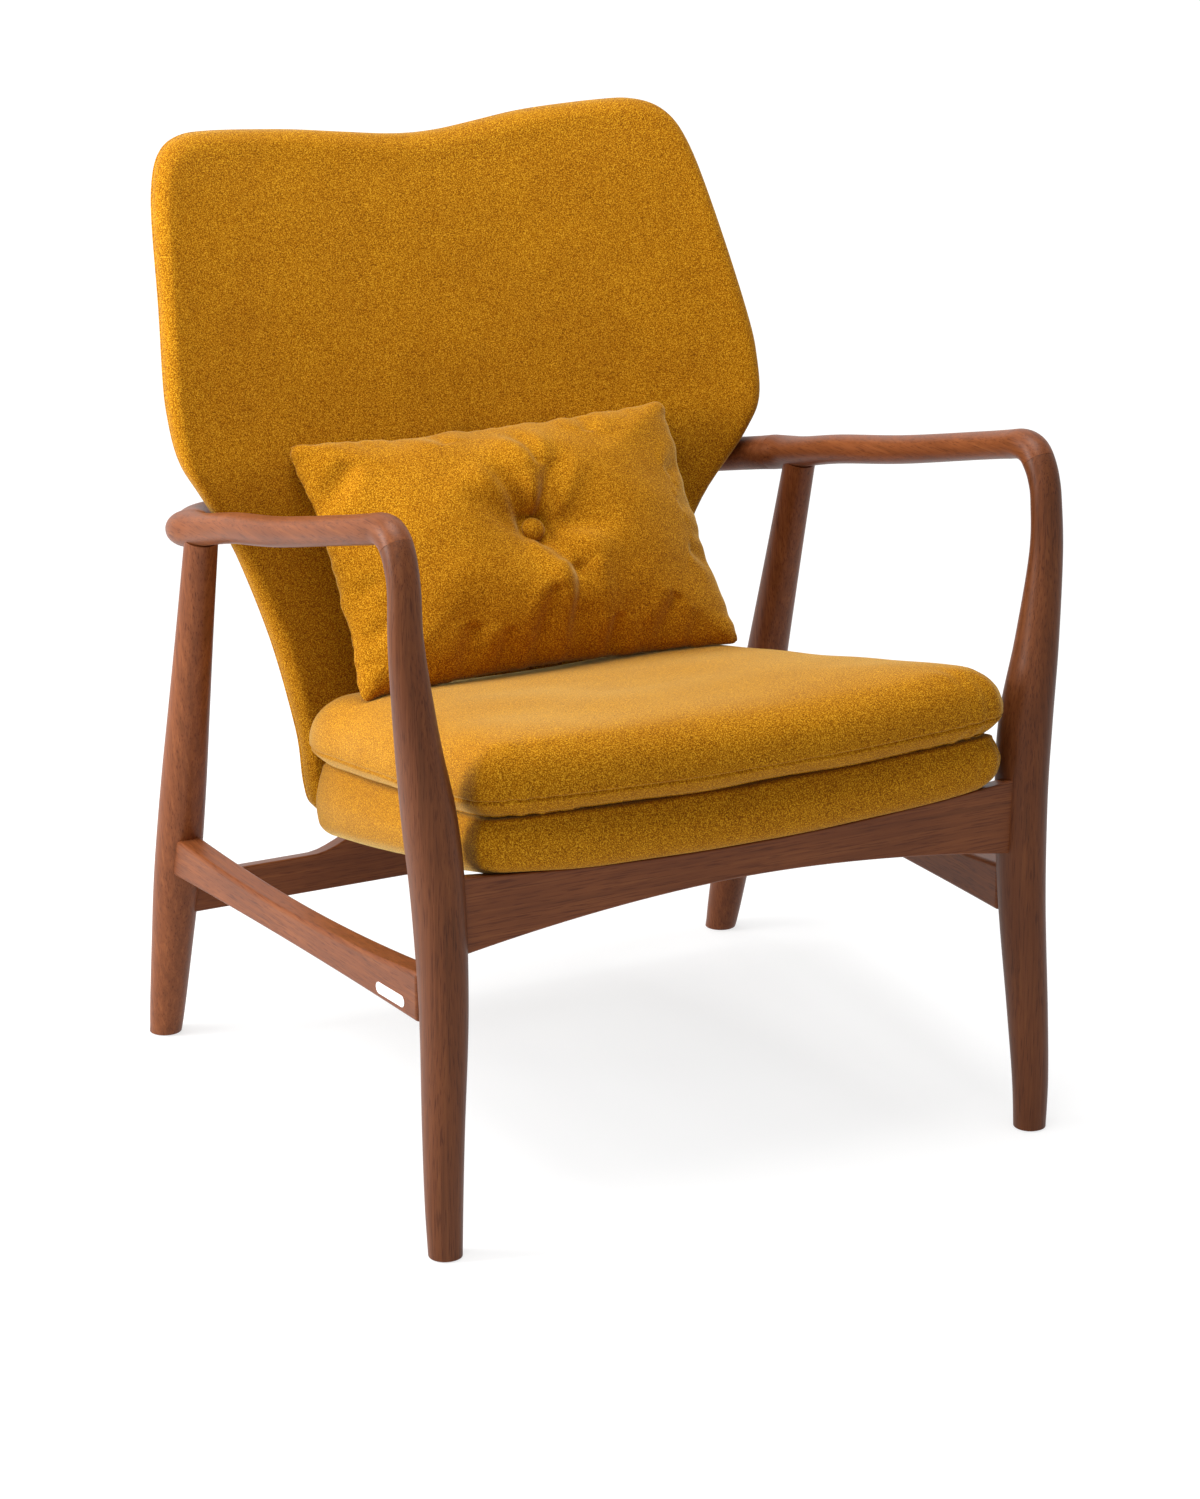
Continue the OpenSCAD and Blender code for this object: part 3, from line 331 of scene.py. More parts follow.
bar_down = -unit(np.array([0, bar_fall, 1.0]))
bar_right = []
for u in np.concatenate([np.linspace(0, 0.5, 12)[1:], np.linspace(0.53, 0.97, 24)]):
    x = bar_half * u
    along = unit(bar_point(x + 3) - bar_point(x - 3))
    bar_right.append(oval_ring(bar_point(x), along, bar_down,
                               mix(12.0, corner[3] - 4.5, u ** 6), 16.0))
bar_right.append(side_rings[0])
bar_middle = oval_ring(bar_point(0.0), np.array([1.0, 0, 0]), bar_down, 12.0, 16.0)


def matched(ring, other):
    """Starts and turns the ring so that its points lie nearest those of the other."""
    best = None
    for order in (ring, ring[::-1]):
        for k in range(len(order)):
            turned = np.roll(order, k, axis=0)
            gap = np.abs(turned - other).sum()
            if best is None or gap < best[0]:
                best = (gap, turned)
    return best[1]


bar_rings = [bar_middle]
for ring in bar_right:
    bar_rings.append(matched(ring, bar_rings[-1]))
left_rings = [bar_middle]
for ring in bar_right:
    left_rings.append(matched(ring * (-1, 1, 1), left_rings[-1]))
crossbar = loft("back_crossbar_timber", left_rings[:0:-1] + bar_rings)
ease_edges(crossbar, 0.5, 50, 2)
# Painted shade: this copy of the ash is darkened by 0.04.
bar_ash = stained_ash("ash_stained_lacquered_crossways_painted_shade", "x", 0.04)
finish_piece(crossbar, bar_ash, "frame", "walnut_timber", "back_crossbar")

# ---- Rear legs ------------------------------------------------------------------
# Turned ash, fullest where the rails enter, leaning back and out to the floor. A
# tenon on top goes up into the armrest's rear corner.
rear_foot = np.array([302.0, rear_y, 0])
rear_top = np.array([arm_rear_x + 2, arm_rear_y - 15,
                     arm_line(arm_rear_y - 15) - arm_half_t - 3])
rear_axis = rear_top - rear_foot
turned_r = 21.5
turning = through([(0.0, foot_r - 0.3), (0.035, foot_r + 1), (0.09, mix(foot_r, turned_r, 0.35)),
                   (0.2, mix(foot_r, turned_r, 0.66)), (0.3, turned_r - 0.5), (0.4, turned_r),
                   (0.54, turned_r - 0.8), (0.7, mix(foot_r, turned_r, 0.55)),
                   (0.86, mix(foot_r, turned_r, 0.24)), (1.015, foot_r)], 8)
rear_rings = []
for share, radius in turning:
    middle = rear_foot + rear_axis * share
    along = unit(rear_axis)
    if share < 0.01:
        middle, along = rear_foot + (0, 0, 1.0), np.array([0, 0, 1.0])
    rear_rings.append(oval_ring(middle, along, np.array([0, 1.0, 0]), radius, radius,
                                power=1.0))
turned_ash = stained_ash("ash_stained_lacquered_turned", "z")
for side, turn in (("right", list), ("left", mirrored)):
    leg = loft("rear_leg_" + side + "_timber", turn(rear_rings))
    ease_edges(leg, 0.8, 50, 2)
    finish_piece(leg, turned_ash, "frame", "walnut_timber", "rear_leg_" + side)

# ---- Rails ----------------------------------------------------------------------
# Sawn ash rails housed in the legs, with eased edges: a hollow front rail under the
# seat, a rear rail risen in its middle, and a waisted rail on each side.
rail_t = 24.0


def rail_between(name, lows, highs, drop):
    """A four-cornered rail from its lower and upper edges, one point for each column."""
    rings = []
    for low, high in zip(lows, highs):
        across = np.array(low[3])
        base, top = np.array(low[:3]), np.array(high[:3])
        rings.append(np.array([base - across, base + across,
                               top + across - (0, 0, drop), top - across]))
    return loft(name, rings)


housing = 11.0
front_rail_y = front_y + 19
front_rail_half = front_x - 6 - (leg_half - 4.6) + housing
front_sag = 15.0
columns = 33
lows, highs = [], []
for x in np.linspace(-front_rail_half, front_rail_half, columns):
    u = abs(x) / front_rail_half
    top = seat_z - front_sag * (1 - u * u)
    lows.append((x, front_rail_y, top - mix(30.0, 70.0, u ** 1.9), (0, rail_t / 2, 0)))
    highs.append((x, front_rail_y, top))
front_rail = rail_between("front_rail_timber", lows, highs, 5.6)
ease_edges(front_rail, 2.2)
# Painted shade: the rail copy of the ash is darkened by 0.12; the rear rail shares it.
rail_ash = stained_ash("ash_stained_lacquered_rail_painted_shade", "x", 0.12)
finish_piece(front_rail, rail_ash, "frame", "walnut_timber", "front_rail")

seat_fall = 0.235
rear_rail_z = seat_z - 176
rear_rail_h = 37.0
rear_rail_c = rear_foot + rear_axis * rear_rail_z / rear_axis[2]
rear_rail_half = rear_rail_c[0] - turned_r + housing
rise_from, rise_run = 92.0, 75.0


def seat_sag(x):
    return -front_sag * (1 - (x / front_rail_half) ** 2)


def pan_line(x, y):
    return seat_z + seat_sag(x) - seat_fall * (y - front_rail_y + rail_t / 2)


lows, highs = [], []
for x in np.linspace(-rear_rail_half, rear_rail_half, 65):
    u = min(max((rise_from + rise_run - abs(x)) / rise_run, 0), 1)
    top = mix(rear_rail_z + rear_rail_h / 2,
              pan_line(x, rear_rail_c[1] - rail_t / 2) - 0.1, u * u * (3 - 2 * u))
    lows.append((x, rear_rail_c[1], rear_rail_z - rear_rail_h / 2, (0, rail_t / 2, 0)))
    highs.append((x, rear_rail_c[1], top))
rear_rail = rail_between("rear_rail_timber", lows, highs, 5.6)
ease_edges(rear_rail, 2.2)
finish_piece(rear_rail, rail_ash, "frame", "walnut_timber", "rear_rail")

side_front_z = seat_z - 132
side_rear_z = side_front_z - 19
side_start = np.array([front_x - 6.5, corner_y - 22])
side_end = (rear_foot + rear_axis * (side_rear_z + 20) / rear_axis[2])[:2]
side_run = np.linalg.norm(side_end - side_start)
side_way = (side_end - side_start) / side_run
side_across = np.array([side_way[1], -side_way[0], 0]) * rail_t / 2
lows, highs = [], []
for s in np.linspace(leg_half - housing + 1, side_run - turned_r + housing + 5, 41):
    u = s / side_run
    x, y = side_start + side_way * s
    hollow = 1 - (2 * u - 1) ** 2
    lows.append((x, y, mix(side_front_z, side_rear_z, u) + 3 * hollow, side_across))
    highs.append((x, y, mix(side_front_z + 46, side_rear_z + 39, u) - 11 * hollow))
# Painted shade: the side rail copy of the ash is darkened by 0.04.
side_ash = stained_ash("ash_stained_lacquered_side_rail_painted_shade", "y", 0.04)
for side, sign in (("right", 1), ("left", -1)):
    low = [(a * sign, b, c, d * (sign, 1, 1)) for a, b, c, d in lows]
    high = [(a * sign, b, c) for a, b, c in highs]
    rail = rail_between("side_rail_" + side + "_timber", low, high, 0)
    ease_edges(rail, 4.0, 40, 4)
    finish_piece(rail, side_ash, "frame", "walnut_timber", "side_rail_" + side)

# ---- Seat base ------------------------------------------------------------------
# Plywood pan with a foam pad and a tight velvet cover, stapled under the edge. The
# cover is seamed down each front corner and rests on the front and rear rails.


def half_loop(half):
    """The whole outline from its right half, which starts and ends on the middle line."""
    return np.concatenate([half, half[-2:0:-1] * (-1, 1)])


def shrunk(outline, middle, scale, inset):
    away = outline - middle
    length = np.linalg.norm(away, axis=1, keepdims=True)
    return middle + away * scale * (1 - inset / length)


def padded_skin(name, outline, middle, profile, place):
    """A crowned closed form. Each profile row is an inset, a scale and a height."""
    rings = []
    for inset, scale, height in profile:
        ring = shrunk(outline, middle, scale, inset)
        rings.append(np.array([place(p, height) for p in ring]))
    return loft(name, rings, crowned=True)


def displace(piece, change):
    """Moves every point along its normal by the millimetres that change gives for it."""
    mesh = piece.data
    count = len(mesh.vertices)
    places = np.empty(count * 3)
    normals = np.empty(count * 3)
    mesh.vertices.foreach_get("co", places)
    mesh.vertices.foreach_get("normal", normals)
    places, normals = places.reshape(-1, 3), normals.reshape(-1, 3)
    moved = places + normals * change(places)[:, None] / 1000
    mesh.vertices.foreach_set("co", moved.ravel())
    mesh.update()


def seam_groove(piece, line, depth_mm, width_mm):
    """Pulls the cloth in along a sewn line given in millimetres."""
    dense = through(in_frame(line), 6)
    tree = KDTree(len(dense))
    for i, p in enumerate(dense):
        tree.insert(p, i)
    tree.balance()

    def pull(places):
        gaps = np.array([tree.find(p)[2] for p in places]) * 1000
        return -depth_mm * np.exp(-(gaps / width_mm) ** 2)

    displace(piece, pull)


def edge_line(outline, place, height):
    """The closed line round an outline at one height, where two panels are sewn."""
    line = np.array([place(p, height) for p in outline])
    return np.concatenate([line, line[:2]])


def soft_waves(seed, size_mm, height_mm):
    """Gentle unevenness of stuffed cloth, the sum of a few fixed waves."""
    dice = np.random.default_rng(seed)
    ways = dice.normal(size=(9, 3))
    ways /= np.linalg.norm(ways, axis=1, keepdims=True)
    phases = dice.uniform(0, 2 * pi, 9)
    rates = 2 * pi * 1000 / size_mm * dice.uniform(0.6, 1.6, 9)

    def change(places):
        total = sum(np.sin(places @ w * r + p) for w, r, p in zip(ways, rates, phases))
        return total * height_mm / 3

    return change


def short_pile_velvet(name):
    """Mustard polyester velvet: short upright pile that is deep in colour face on and
    pale at grazing angles, with a fine speckle where fibres lean. The speckle is drawn
    at 1.2 mm, coarser than the real pile, so that it shows."""
    finish = new_material(name)
    speckle_mm, brushed_mm = 1.1, 60.0
    place = add(finish, "TexCoord")
    speckle = add(finish, "TexNoise", Vector=(place, "Object"), Scale=1000 / speckle_mm,
                  Detail=3.0, Roughness=0.65)
    brushed = add(finish, "TexNoise", Vector=(place, "Object"), Scale=1000 / brushed_mm,
                  Detail=3.0, Roughness=0.55, Distortion=0.4)
    pile = ramp(finish, (speckle, 0), [(0.38, "#714100"), (0.5, "#a16300"), (0.62, "#d19a20")])
    nap = ramp(finish, (brushed, 0), [(0.32, "#efe9e0"), (0.62, "#ffffff")])
    colour = add(finish, "Mix", {"data_type": "RGBA", "blend_type": "MULTIPLY"},
                 i0=0.6, i6=(pile, 0), i7=(nap, 0))
    relief = add(finish, "Bump", Strength=0.25, Distance=0.0006, Height=(speckle, 0))
    skin = add(finish, "BsdfPrincipled", Base_Color=(colour, 2), Roughness=0.92, IOR=1.45,
               Specular_IOR_Level=0.12, Sheen_Weight=0.5, Sheen_Roughness=0.34,
               Sheen_Tint=linear("#f4e09a"), Normal=(relief, 0))
    add(finish, "OutputMaterial", Surface=(skin, 0))
    return finish


velvet = short_pile_velvet("velvet_mustard_short_pile")
seat_half_w, seat_half_r = 253.0, 202.0
seat_front = front_y - 11
seat_rear = rear_y - 109
seat_t = 47.0
pan_t = 12.0
top_fall = 0.185


def between_ends(half_w, half_r, start, stop, share, along):
    return (mix(half_w, half_r, share), mix(start, stop, along))


def seat_place(p, h):
    pan = pan_line(p[0], p[1])
    top = (seat_z + 0.5 * seat_sag(p[0]) + seat_t
           - top_fall * (p[1] - front_rail_y + rail_t / 2))
    z = pan + h if h <= pan_t else mix(pan + pan_t, top, (h - pan_t) / (seat_t - pan_t))
    return (p[0], p[1], z)


seat_outline = half_loop(through([
    (0, seat_front), (seat_half_w * 0.4, seat_front + 1), (seat_half_w * 0.75, seat_front + 4),
    (seat_half_w - 22, seat_front + 8), (seat_half_w - 6, seat_front + 15),
    (seat_half_w, seat_front + 32),
    between_ends(seat_half_w, seat_half_r, seat_front, seat_rear, 0.1, 0.25),
    between_ends(seat_half_w, seat_half_r, seat_front, seat_rear, 0.35, 0.5),
    between_ends(seat_half_w, seat_half_r, seat_front, seat_rear, 0.68, 0.75),
    (seat_half_r, seat_rear - 34), (seat_half_r - 8, seat_rear - 14),
    (seat_half_r - 30, seat_rear - 7), (seat_half_r * 0.4, seat_rear - 2), (0, seat_rear),
], 7))
seat_middle = np.array([0, (seat_front + seat_rear) / 2])
seat_profile = through([
    (30, 0.5, 0), (24, 0.93, 0), (20, 1, 0), (12, 1, 2), (5, 1, 7.5), (1, 1, 15),
    (-0.4, 1, 24),
    (1.5, 1, seat_t - 16), (6, 1, seat_t - 6.5), (14, 1, seat_t - 1), (16, 0.85, seat_t),
    (16, 0.5, seat_t), (16, 0.2, seat_t)], 4)
seat_pad = padded_skin("seat_base_pad", seat_outline, seat_middle, seat_profile, seat_place)
displace(seat_pad, soft_waves(3, 130, 0.5))
for sign in (-1, 1):
    seam_xy = np.array([sign * (seat_half_w - 27), seat_front + 7.0])
    seam = [seat_place(seam_xy, h) for h in (0, 8, 16, 24, 32, 40, 46)]
    seam_groove(seat_pad, seam, 1.6, 2.6)
finish_piece(seat_pad, velvet, "frame", "velvet", "seat_cover", "seat_foam")


def plain_finish(name, dark, light, grain_mm, roughness, metallic=0.0, relief=0.1):
    """A finish of two close tones in a fine noise, with matching relief."""
    finish = new_material(name)
    place = add(finish, "TexCoord")
    noise = add(finish, "TexNoise", Vector=(place, "Object"), Scale=1000 / grain_mm, Detail=4.0)
    tone = ramp(finish, (noise, 0), [(0.35, dark), (0.65, light)])
    bump = add(finish, "Bump", Strength=relief, Distance=0.0003, Height=(noise, 0))
    skin = add(finish, "BsdfPrincipled", Base_Color=(tone, 0), Roughness=roughness,
               Metallic=metallic, Normal=(bump, 0))
    add(finish, "OutputMaterial", Surface=(skin, 0))
    return finish


# The pan is one birch board; its tail runs rearwards through the cover onto the rail.
plywood = plain_finish("birch_plywood_bare", "#b18c5c", "#c9a674", 9, 0.65)
pan_inset, tail_half = 21.0, rise_from - 4
board = padded_skin("seat_pan_board", seat_outline, seat_middle,
                       [(pan_inset, 0.5, 0.3), (pan_inset, 1, 0.3), (pan_inset, 1, pan_t - 0.5),
                        (pan_inset, 0.5, pan_t - 0.5)], seat_place)
ease_edges(board, 0.5, 50, 2)
finish_piece(board, plywood, "frame", "plywood", "seat_pan")
tail_rings = []
for x in np.linspace(-tail_half, tail_half, 13):
    start, stop = (x, seat_rear - 40), (x, rear_rail_c[1] + rail_t / 2)
    tail_rings.append(np.array([seat_place(start, 0.3), seat_place(stop, 0),
                                seat_place(stop, pan_t), seat_place(start, pan_t - 0.5)]))
tail = loft("seat_pan_tail", tail_rings)
ease_edges(tail, 0.8, 50, 2)
finish_piece(tail, plywood, "frame", "plywood")

# The dust cover is one cut sheet of spunbonded cloth, stapled up under the pan.
nonwoven = plain_finish("dust_cover_spunbonded", "#0d0d0e", "#1b1b1d", 0.8, 0.9)
dust_inset, dust_t = 26.0, 0.8
dust_outline = shrunk(seat_outline, seat_middle, 1, dust_inset)
dust_outline[:, 1] = np.maximum(dust_outline[:, 1], front_rail_y + rail_t / 2 + 4)
dust_rings = []
for scale, height in ((0.02, -0.3), (0.5, -0.3), (1, -0.3), (1, -0.3 - dust_t),
                      (0.5, -0.3 - dust_t), (0.02, -0.3 - dust_t)):
    dust_rings.append(np.array([seat_place(p, height)
                                for p in mix(seat_middle, dust_outline, scale)]))
dust = loft("dust_cover_cloth", dust_rings, crowned=True)
finish_piece(dust, nonwoven, "frame", "black_nonwoven", "dust_cover")

# ---- Back -----------------------------------------------------------------------
# Moulded plywood shell padded with foam, covered in velvet. Front and rear panels are
# sewn together round the edge; the wings come forward and the top dips in the middle.
back_top = 836.0
back_half_w, back_half_r = 301.0, 188.0
back_t = 38.0
back_crown = 10.0
back_wrap = 42.0
back_low = pan_line(0, rear_y - 106) + pan_t + 1.5


def back_up(share):
    return mix(back_low, back_top, share)


lean_line = through([
    (back_low - 30, rear_y - 81), (back_up(0.19), rear_y - 53), (back_up(0.357), rear_y - 36),
    (back_up(0.507), rear_y - 34.5), (back_up(0.607), rear_y - 15),
    (back_up(0.773), rear_y + 21.5), (back_up(0.94), rear_y + 65.5),
    (back_top + 20, rear_y + 92)], 12)


def back_place(p, h):
    lean = np.interp(p[1], lean_line[:, 0], lean_line[:, 1])
    return (p[0], lean - back_wrap * (abs(p[0]) / back_half_w) ** 2.6 + h, p[1])


back_outline = half_loop(through([
    (0, back_low), (back_half_r * 0.5, back_low + 1), (back_half_r - 30, back_low + 3),
    (back_half_r - 7, back_low + 12), (back_half_r, back_low + 34),
    (back_half_r + 2, back_low + 84),
    (mix(back_half_r, back_half_w, 0.17), back_up(0.2733)),
    (mix(back_half_r, back_half_w, 0.465), back_up(0.407)),
    (mix(back_half_r, back_half_w, 0.807), back_up(0.507)),
    (back_half_w - 4, back_up(0.56)), (back_half_w, back_up(0.623)),
    (back_half_w - 3, back_up(0.69)), (back_half_w - 18, back_up(0.857)),
    (back_half_w - 29, back_up(0.94)), (back_half_w - 43, back_top - 12),
    (back_half_w - 66, back_top - 1), (back_half_w - 101, back_top),
    (back_half_w * 0.42, back_top - 5), (back_half_w * 0.24, back_top - 12),
    (back_half_w * 0.12, back_top - 16.5), (back_half_w * 0.04, back_top - 18.2),
    (0, back_top - 18.4),
], 6))
back_middle = np.array([0, back_up(0.58)])
back_seam = back_t / 2 - 16
front_face = -back_t / 2
back_profile = through([
    (5, 0.2, back_t / 2), (5, 0.4, back_t / 2), (5, 0.6, back_t / 2), (5, 0.78, back_t / 2 - 0.5),
    (5.5, 0.92, back_t / 2 - 4.5), (5, 0.985, back_t / 2 - 9.2), (1.6, 1, back_seam + 4.2),
    (0.3, 1, back_seam), (0.2, 1, -2), (1.6, 1, front_face + 9), (6.5, 1, front_face + 2.6),
    (14, 1, front_face - 0.8), (17, 0.94, front_face - back_crown * 0.2),
    (17, 0.8, front_face - back_crown * 0.5), (17, 0.6, front_face - back_crown * 0.76),
    (17, 0.4, front_face - back_crown * 0.92), (17, 0.2, front_face - back_crown)], 4)
back_pad = padded_skin("back_pad", back_outline, back_middle, back_profile, back_place)
displace(back_pad, soft_waves(11, 210, 0.9))
seam_groove(back_pad, edge_line(back_outline, back_place, back_seam), 1.3, 2.4)
finish_piece(back_pad, velvet, "frame", "velvet", "back_front_cover", "back_rear_cover",
             "back_foam", "back_panel")

# ---- Seat cushion ---------------------------------------------------------------
# Loose foam cushion in a velvet case of two panels sewn on one line, low on the side.
# The top is crowned and rolls over at the front; the cloth puckers by the corners.
cushion_front = seat_front - 4
cushion_half_w, cushion_half_r = seat_half_w + 3, seat_half_r + 9
cushion_t = 70.0
cushion_seam = 14.0
rise = cushion_t - cushion_seam


def cushion_place(p, h):
    top = (seat_z + 0.5 * seat_sag(p[0]) + seat_t
           - top_fall * (p[1] - front_rail_y + rail_t / 2))
    return (p[0], p[1], top + 0.4 + h)


cushion_outline = half_loop(through([
    (0, cushion_front - 6), (cushion_half_w * 0.4, cushion_front - 4),
    (cushion_half_w * 0.75, cushion_front + 2), (cushion_half_w - 24, cushion_front + 8),
    (cushion_half_w - 7, cushion_front + 16), (cushion_half_w, cushion_front + 36),
    between_ends(cushion_half_w, cushion_half_r, cushion_front, seat_rear, 0.1, 0.25),
    between_ends(cushion_half_w, cushion_half_r, cushion_front, seat_rear, 0.35, 0.5),
    between_ends(cushion_half_w, cushion_half_r, cushion_front, seat_rear, 0.68, 0.75),
    (cushion_half_r, seat_rear - 40), (cushion_half_r - 12, seat_rear - 17),
    (cushion_half_r - 40, seat_rear - 8), (cushion_half_r * 0.4, seat_rear - 2),
    (0, seat_rear - 1),
], 7))
cushion_middle = np.array([0, (cushion_front + seat_rear) / 2])
cushion_profile = through([
    (20, 0.4, 0.2), (20, 0.75, 0.2), (20, 0.99, 0.3), (15, 1, 1.6), (8.5, 1, 5.5),
    (3, 1, 10.5), (0.2, 1, cushion_seam), (0.4, 1, cushion_seam + 4),
    (1.6, 1, cushion_seam + rise * 0.25), (8, 1, cushion_seam + rise * 0.5),
    (22, 1, cushion_seam + rise * 0.72), (44, 1, cushion_seam + rise * 0.865),
    (44, 0.8, cushion_seam + rise * 0.955), (44, 0.5, cushion_t), (44, 0.2, cushion_t)], 5)
cushion = padded_skin("seat_cushion_case", cushion_outline, cushion_middle,
                         cushion_profile, cushion_place)
displace(cushion, soft_waves(23, 150, 0.8))
seam_groove(cushion, edge_line(cushion_outline, cushion_place, cushion_seam), 2.6, 1.9)


def fold(start, stop, depth, width):
    return (np.array(start, float), np.array(stop, float), depth, width)


def folds_at(flat, folds):
    """Depth of a set of folds at flat places: each is a valley with a soft bank each side."""
    total = np.zeros(len(flat))
    for start, stop, depth, width in folds:
        way = stop - start
        length = np.linalg.norm(way)
        along = np.clip((flat - start) @ way / length ** 2, -0.3, 1.3)
        gap = np.linalg.norm(flat - start - np.outer(along, way), axis=1)
        fade = np.exp(-(np.maximum(along - 0.55, 0) / 0.3) ** 2)
        fade *= np.exp(-(np.minimum(along - 0.02, 0) / 0.08) ** 2)
        spread = width * (0.85 + 0.6 * np.clip(along, 0, 1))
        total += fade * depth * (-np.exp(-(gap / spread) ** 2)
                                 + 0.42 * np.exp(-((gap - 2.1 * spread) / (1.1 * spread)) ** 2))
    return total


def cushion_folds(places):
    """Short puckers over the seam beside each front corner."""
    mm = places * 1000 + (0, centre_y, 0)
    flat = mm[:, :2]
    front = cushion_front
    puckers = []
    for sign in (-1, 1):
        for x, reach, depth in ((190, 30, 0.7), (209, 44, 1.2), (229, 26, 0.8), (163, 22, 0.5)):
            puckers.append(fold((sign * x, front + 4), (sign * (x - 9), front + 4 + reach),
                                depth, 5))
    return folds_at(flat, puckers)


displace(cushion, cushion_folds)
finish_piece(cushion, velvet, "seat_cushion", "velvet", "cushion_core", "cushion_top_panel",
             "cushion_bottom_panel")

# ---- Lumbar pillow --------------------------------------------------------------
# Fibre-filled velvet pillow, knife-edged, with a covered button pulled in by twine
# through its middle. Deep folds run from the button to the seam below it.
pillow_half_w, pillow_half_h = 193.0, 125.0
pillow_front_t, pillow_rear_t = 62.4, 41.6
pillow_tilt = radians(37)
pull_in = 9.0
pillow_middle = np.array([0, rear_y - 146.3, seat_z + 142])
pillow_up = np.array([0, sin(pillow_tilt), cos(pillow_tilt)])
pillow_out = np.array([0, -cos(pillow_tilt), sin(pillow_tilt)])


def pillow_place(p, h):
    return pillow_middle + (p[0], 0, 0) + pillow_up * p[1] + pillow_out * h


a, b = pillow_half_w, pillow_half_h
pillow_outline = half_loop(through([
    (0, pull_in - b), (a * 0.5, pull_in * 0.7 - b), (a * 0.85, 2 - b), (a - 3, 2 - b),
    (a - 2, -b * 0.8), (a - pull_in * 0.8, -b * 0.4), (a - pull_in, 0),
    (a - pull_in * 0.8, b * 0.4), (a - 2, b * 0.8), (a - 3, b - 2), (a * 0.85, b - 2),
    (a * 0.5, b - pull_in * 0.7), (0, b - pull_in)], 15))
swell = through([(1, 0), (0.985, 0.12), (0.955, 0.24), (0.9, 0.38), (0.83, 0.53), (0.75, 0.67),
                 (0.64, 0.83), (0.52, 0.94), (0.4, 0.97), (0.28, 0.93), (0.17, 0.8),
                 (0.09, 0.66), (0.05, 0.6)], 7)
rear_rows = [(0, s, -pillow_rear_t * h) for s, h in swell[:0:-1]]
front_rows = [(0, s, pillow_front_t * h) for s, h in swell]
way = pillow_outline / (a, b)
oval = way / np.linalg.norm(way, axis=1, keepdims=True) * (a, b)
pillow_rings = []
for _, scale, height in rear_rows + front_rows:
    # The contour lines turn from the sewn outline into ovals towards the middle.
    contour = mix(pillow_outline, oval, min(1, (1 - scale) * 2.4)) * scale
    for _ in range(round(60 * min(1, (1 - scale) * 8))):
        contour = (2 * contour + np.roll(contour, 1, 0) + np.roll(contour, -1, 0)) / 4
    pillow_rings.append(np.array([pillow_place(p, height) for p in contour]))
pillow = loft("lumbar_pillow_case", pillow_rings, crowned=True)
front_folds = [
    fold((6, 8), (43, 78), 6.5, 8), fold((16, 58), (10, 106), 4.5, 7),
    fold((-6, 10), (-36, 72), 6.2, 8), fold((-10, 5), (-72, 44), 2.6, 11),
    fold((11, -1), (84, -16), 3.0, 10), fold((7, -10), (38, -70), 7.0, 10),
    fold((27, -46), (16, -119), 7.0, 10), fold((-3, -66), (-24, -119), 5.5, 8),
    fold((124, -84), (100, -121), 4.0, 8), fold((-84, -86), (-92, -120), 3.6, 9),
    fold((-50, -92), (-58, -121), 3.0, 8), fold((60, -94), (56, -121), 3.6, 7),
    fold((-152, 88), (-180, 58), 3.8, 8), fold((-160, -26), (-186, -36), 2.4, 7),
    fold((-156, -66), (-184, -78), 2.6, 7), fold((160, 44), (184, 56), 2.5, 7),
    fold((160, 8), (185, 12), 2.0, 7), fold((88, 92), (96, 120), 2.6, 8),
    fold((-58, 94), (-64, 120), 2.6, 8), fold((158, -36), (184, -48), 2.4, 7),
]


def pillow_folds(places):
    away = places * 1000 + (0, centre_y, 0) - pillow_middle
    flat = np.stack([away[:, 0], away @ pillow_up], axis=1)
    front = away @ pillow_out > 0
    edge = np.clip((away @ pillow_out) / 12, 0, 1)
    gap_x, gap_y = a - 5 - np.abs(flat[:, 0]), b - 5 - np.abs(flat[:, 1])
    run = np.where(gap_x < gap_y, flat[:, 1], flat[:, 0])
    gather = (np.sin(run / 3.4 + 2 * np.sin(run / 19)) + np.sin(run / 6.1 + 1.3)) * 0.45
    gather *= np.exp(-(np.minimum(gap_x, gap_y) / 15) ** 2)
    return np.where(front, folds_at(flat, front_folds) * edge, 0.0) + gather


displace(pillow, pillow_folds)
displace(pillow, soft_waves(31, 70, 0.9))
seam_groove(pillow, edge_line(pillow_outline, pillow_place, 0), 0.6, 2.2)
finish_piece(pillow, velvet, "lumbar_pillow", "velvet", "pillow_fill", "pillow_front_panel",
             "pillow_rear_panel")

button_r = 11.0
button_dome = through([(0.0, 6.8), (4.0, 6.4), (7.5, 5.0), (10.2, 2.6), (11.0, 0.6),
                       (10.4, -1.6), (8.0, -3.0), (0.5, -3.2)], 4)
for label, sign, sunk in (("front", 1, 0.63 * pillow_front_t), ("rear", -1, 0.63 * pillow_rear_t)):
    rings = []
    for radius, height in button_dome:
        turn = np.arange(40) * 2 * pi / 40
        rings.append(np.array([pillow_place((radius * cos(t), radius * sin(t)),
                                            sign * (sunk + height)) for t in turn]))
    button = loft("pillow_button_" + label, rings, crowned=True)
    finish_piece(button, velvet, "lumbar_pillow", "velvet", *(["pillow_buttons"] if sign > 0
                                                             else []))

# ---- Small parts kept from the model -------------------------------------------
# Plate, glides, dowels, screws, bolts, brackets, bushes and twine: each keeps its solid
# and gets the finish of the real thing.


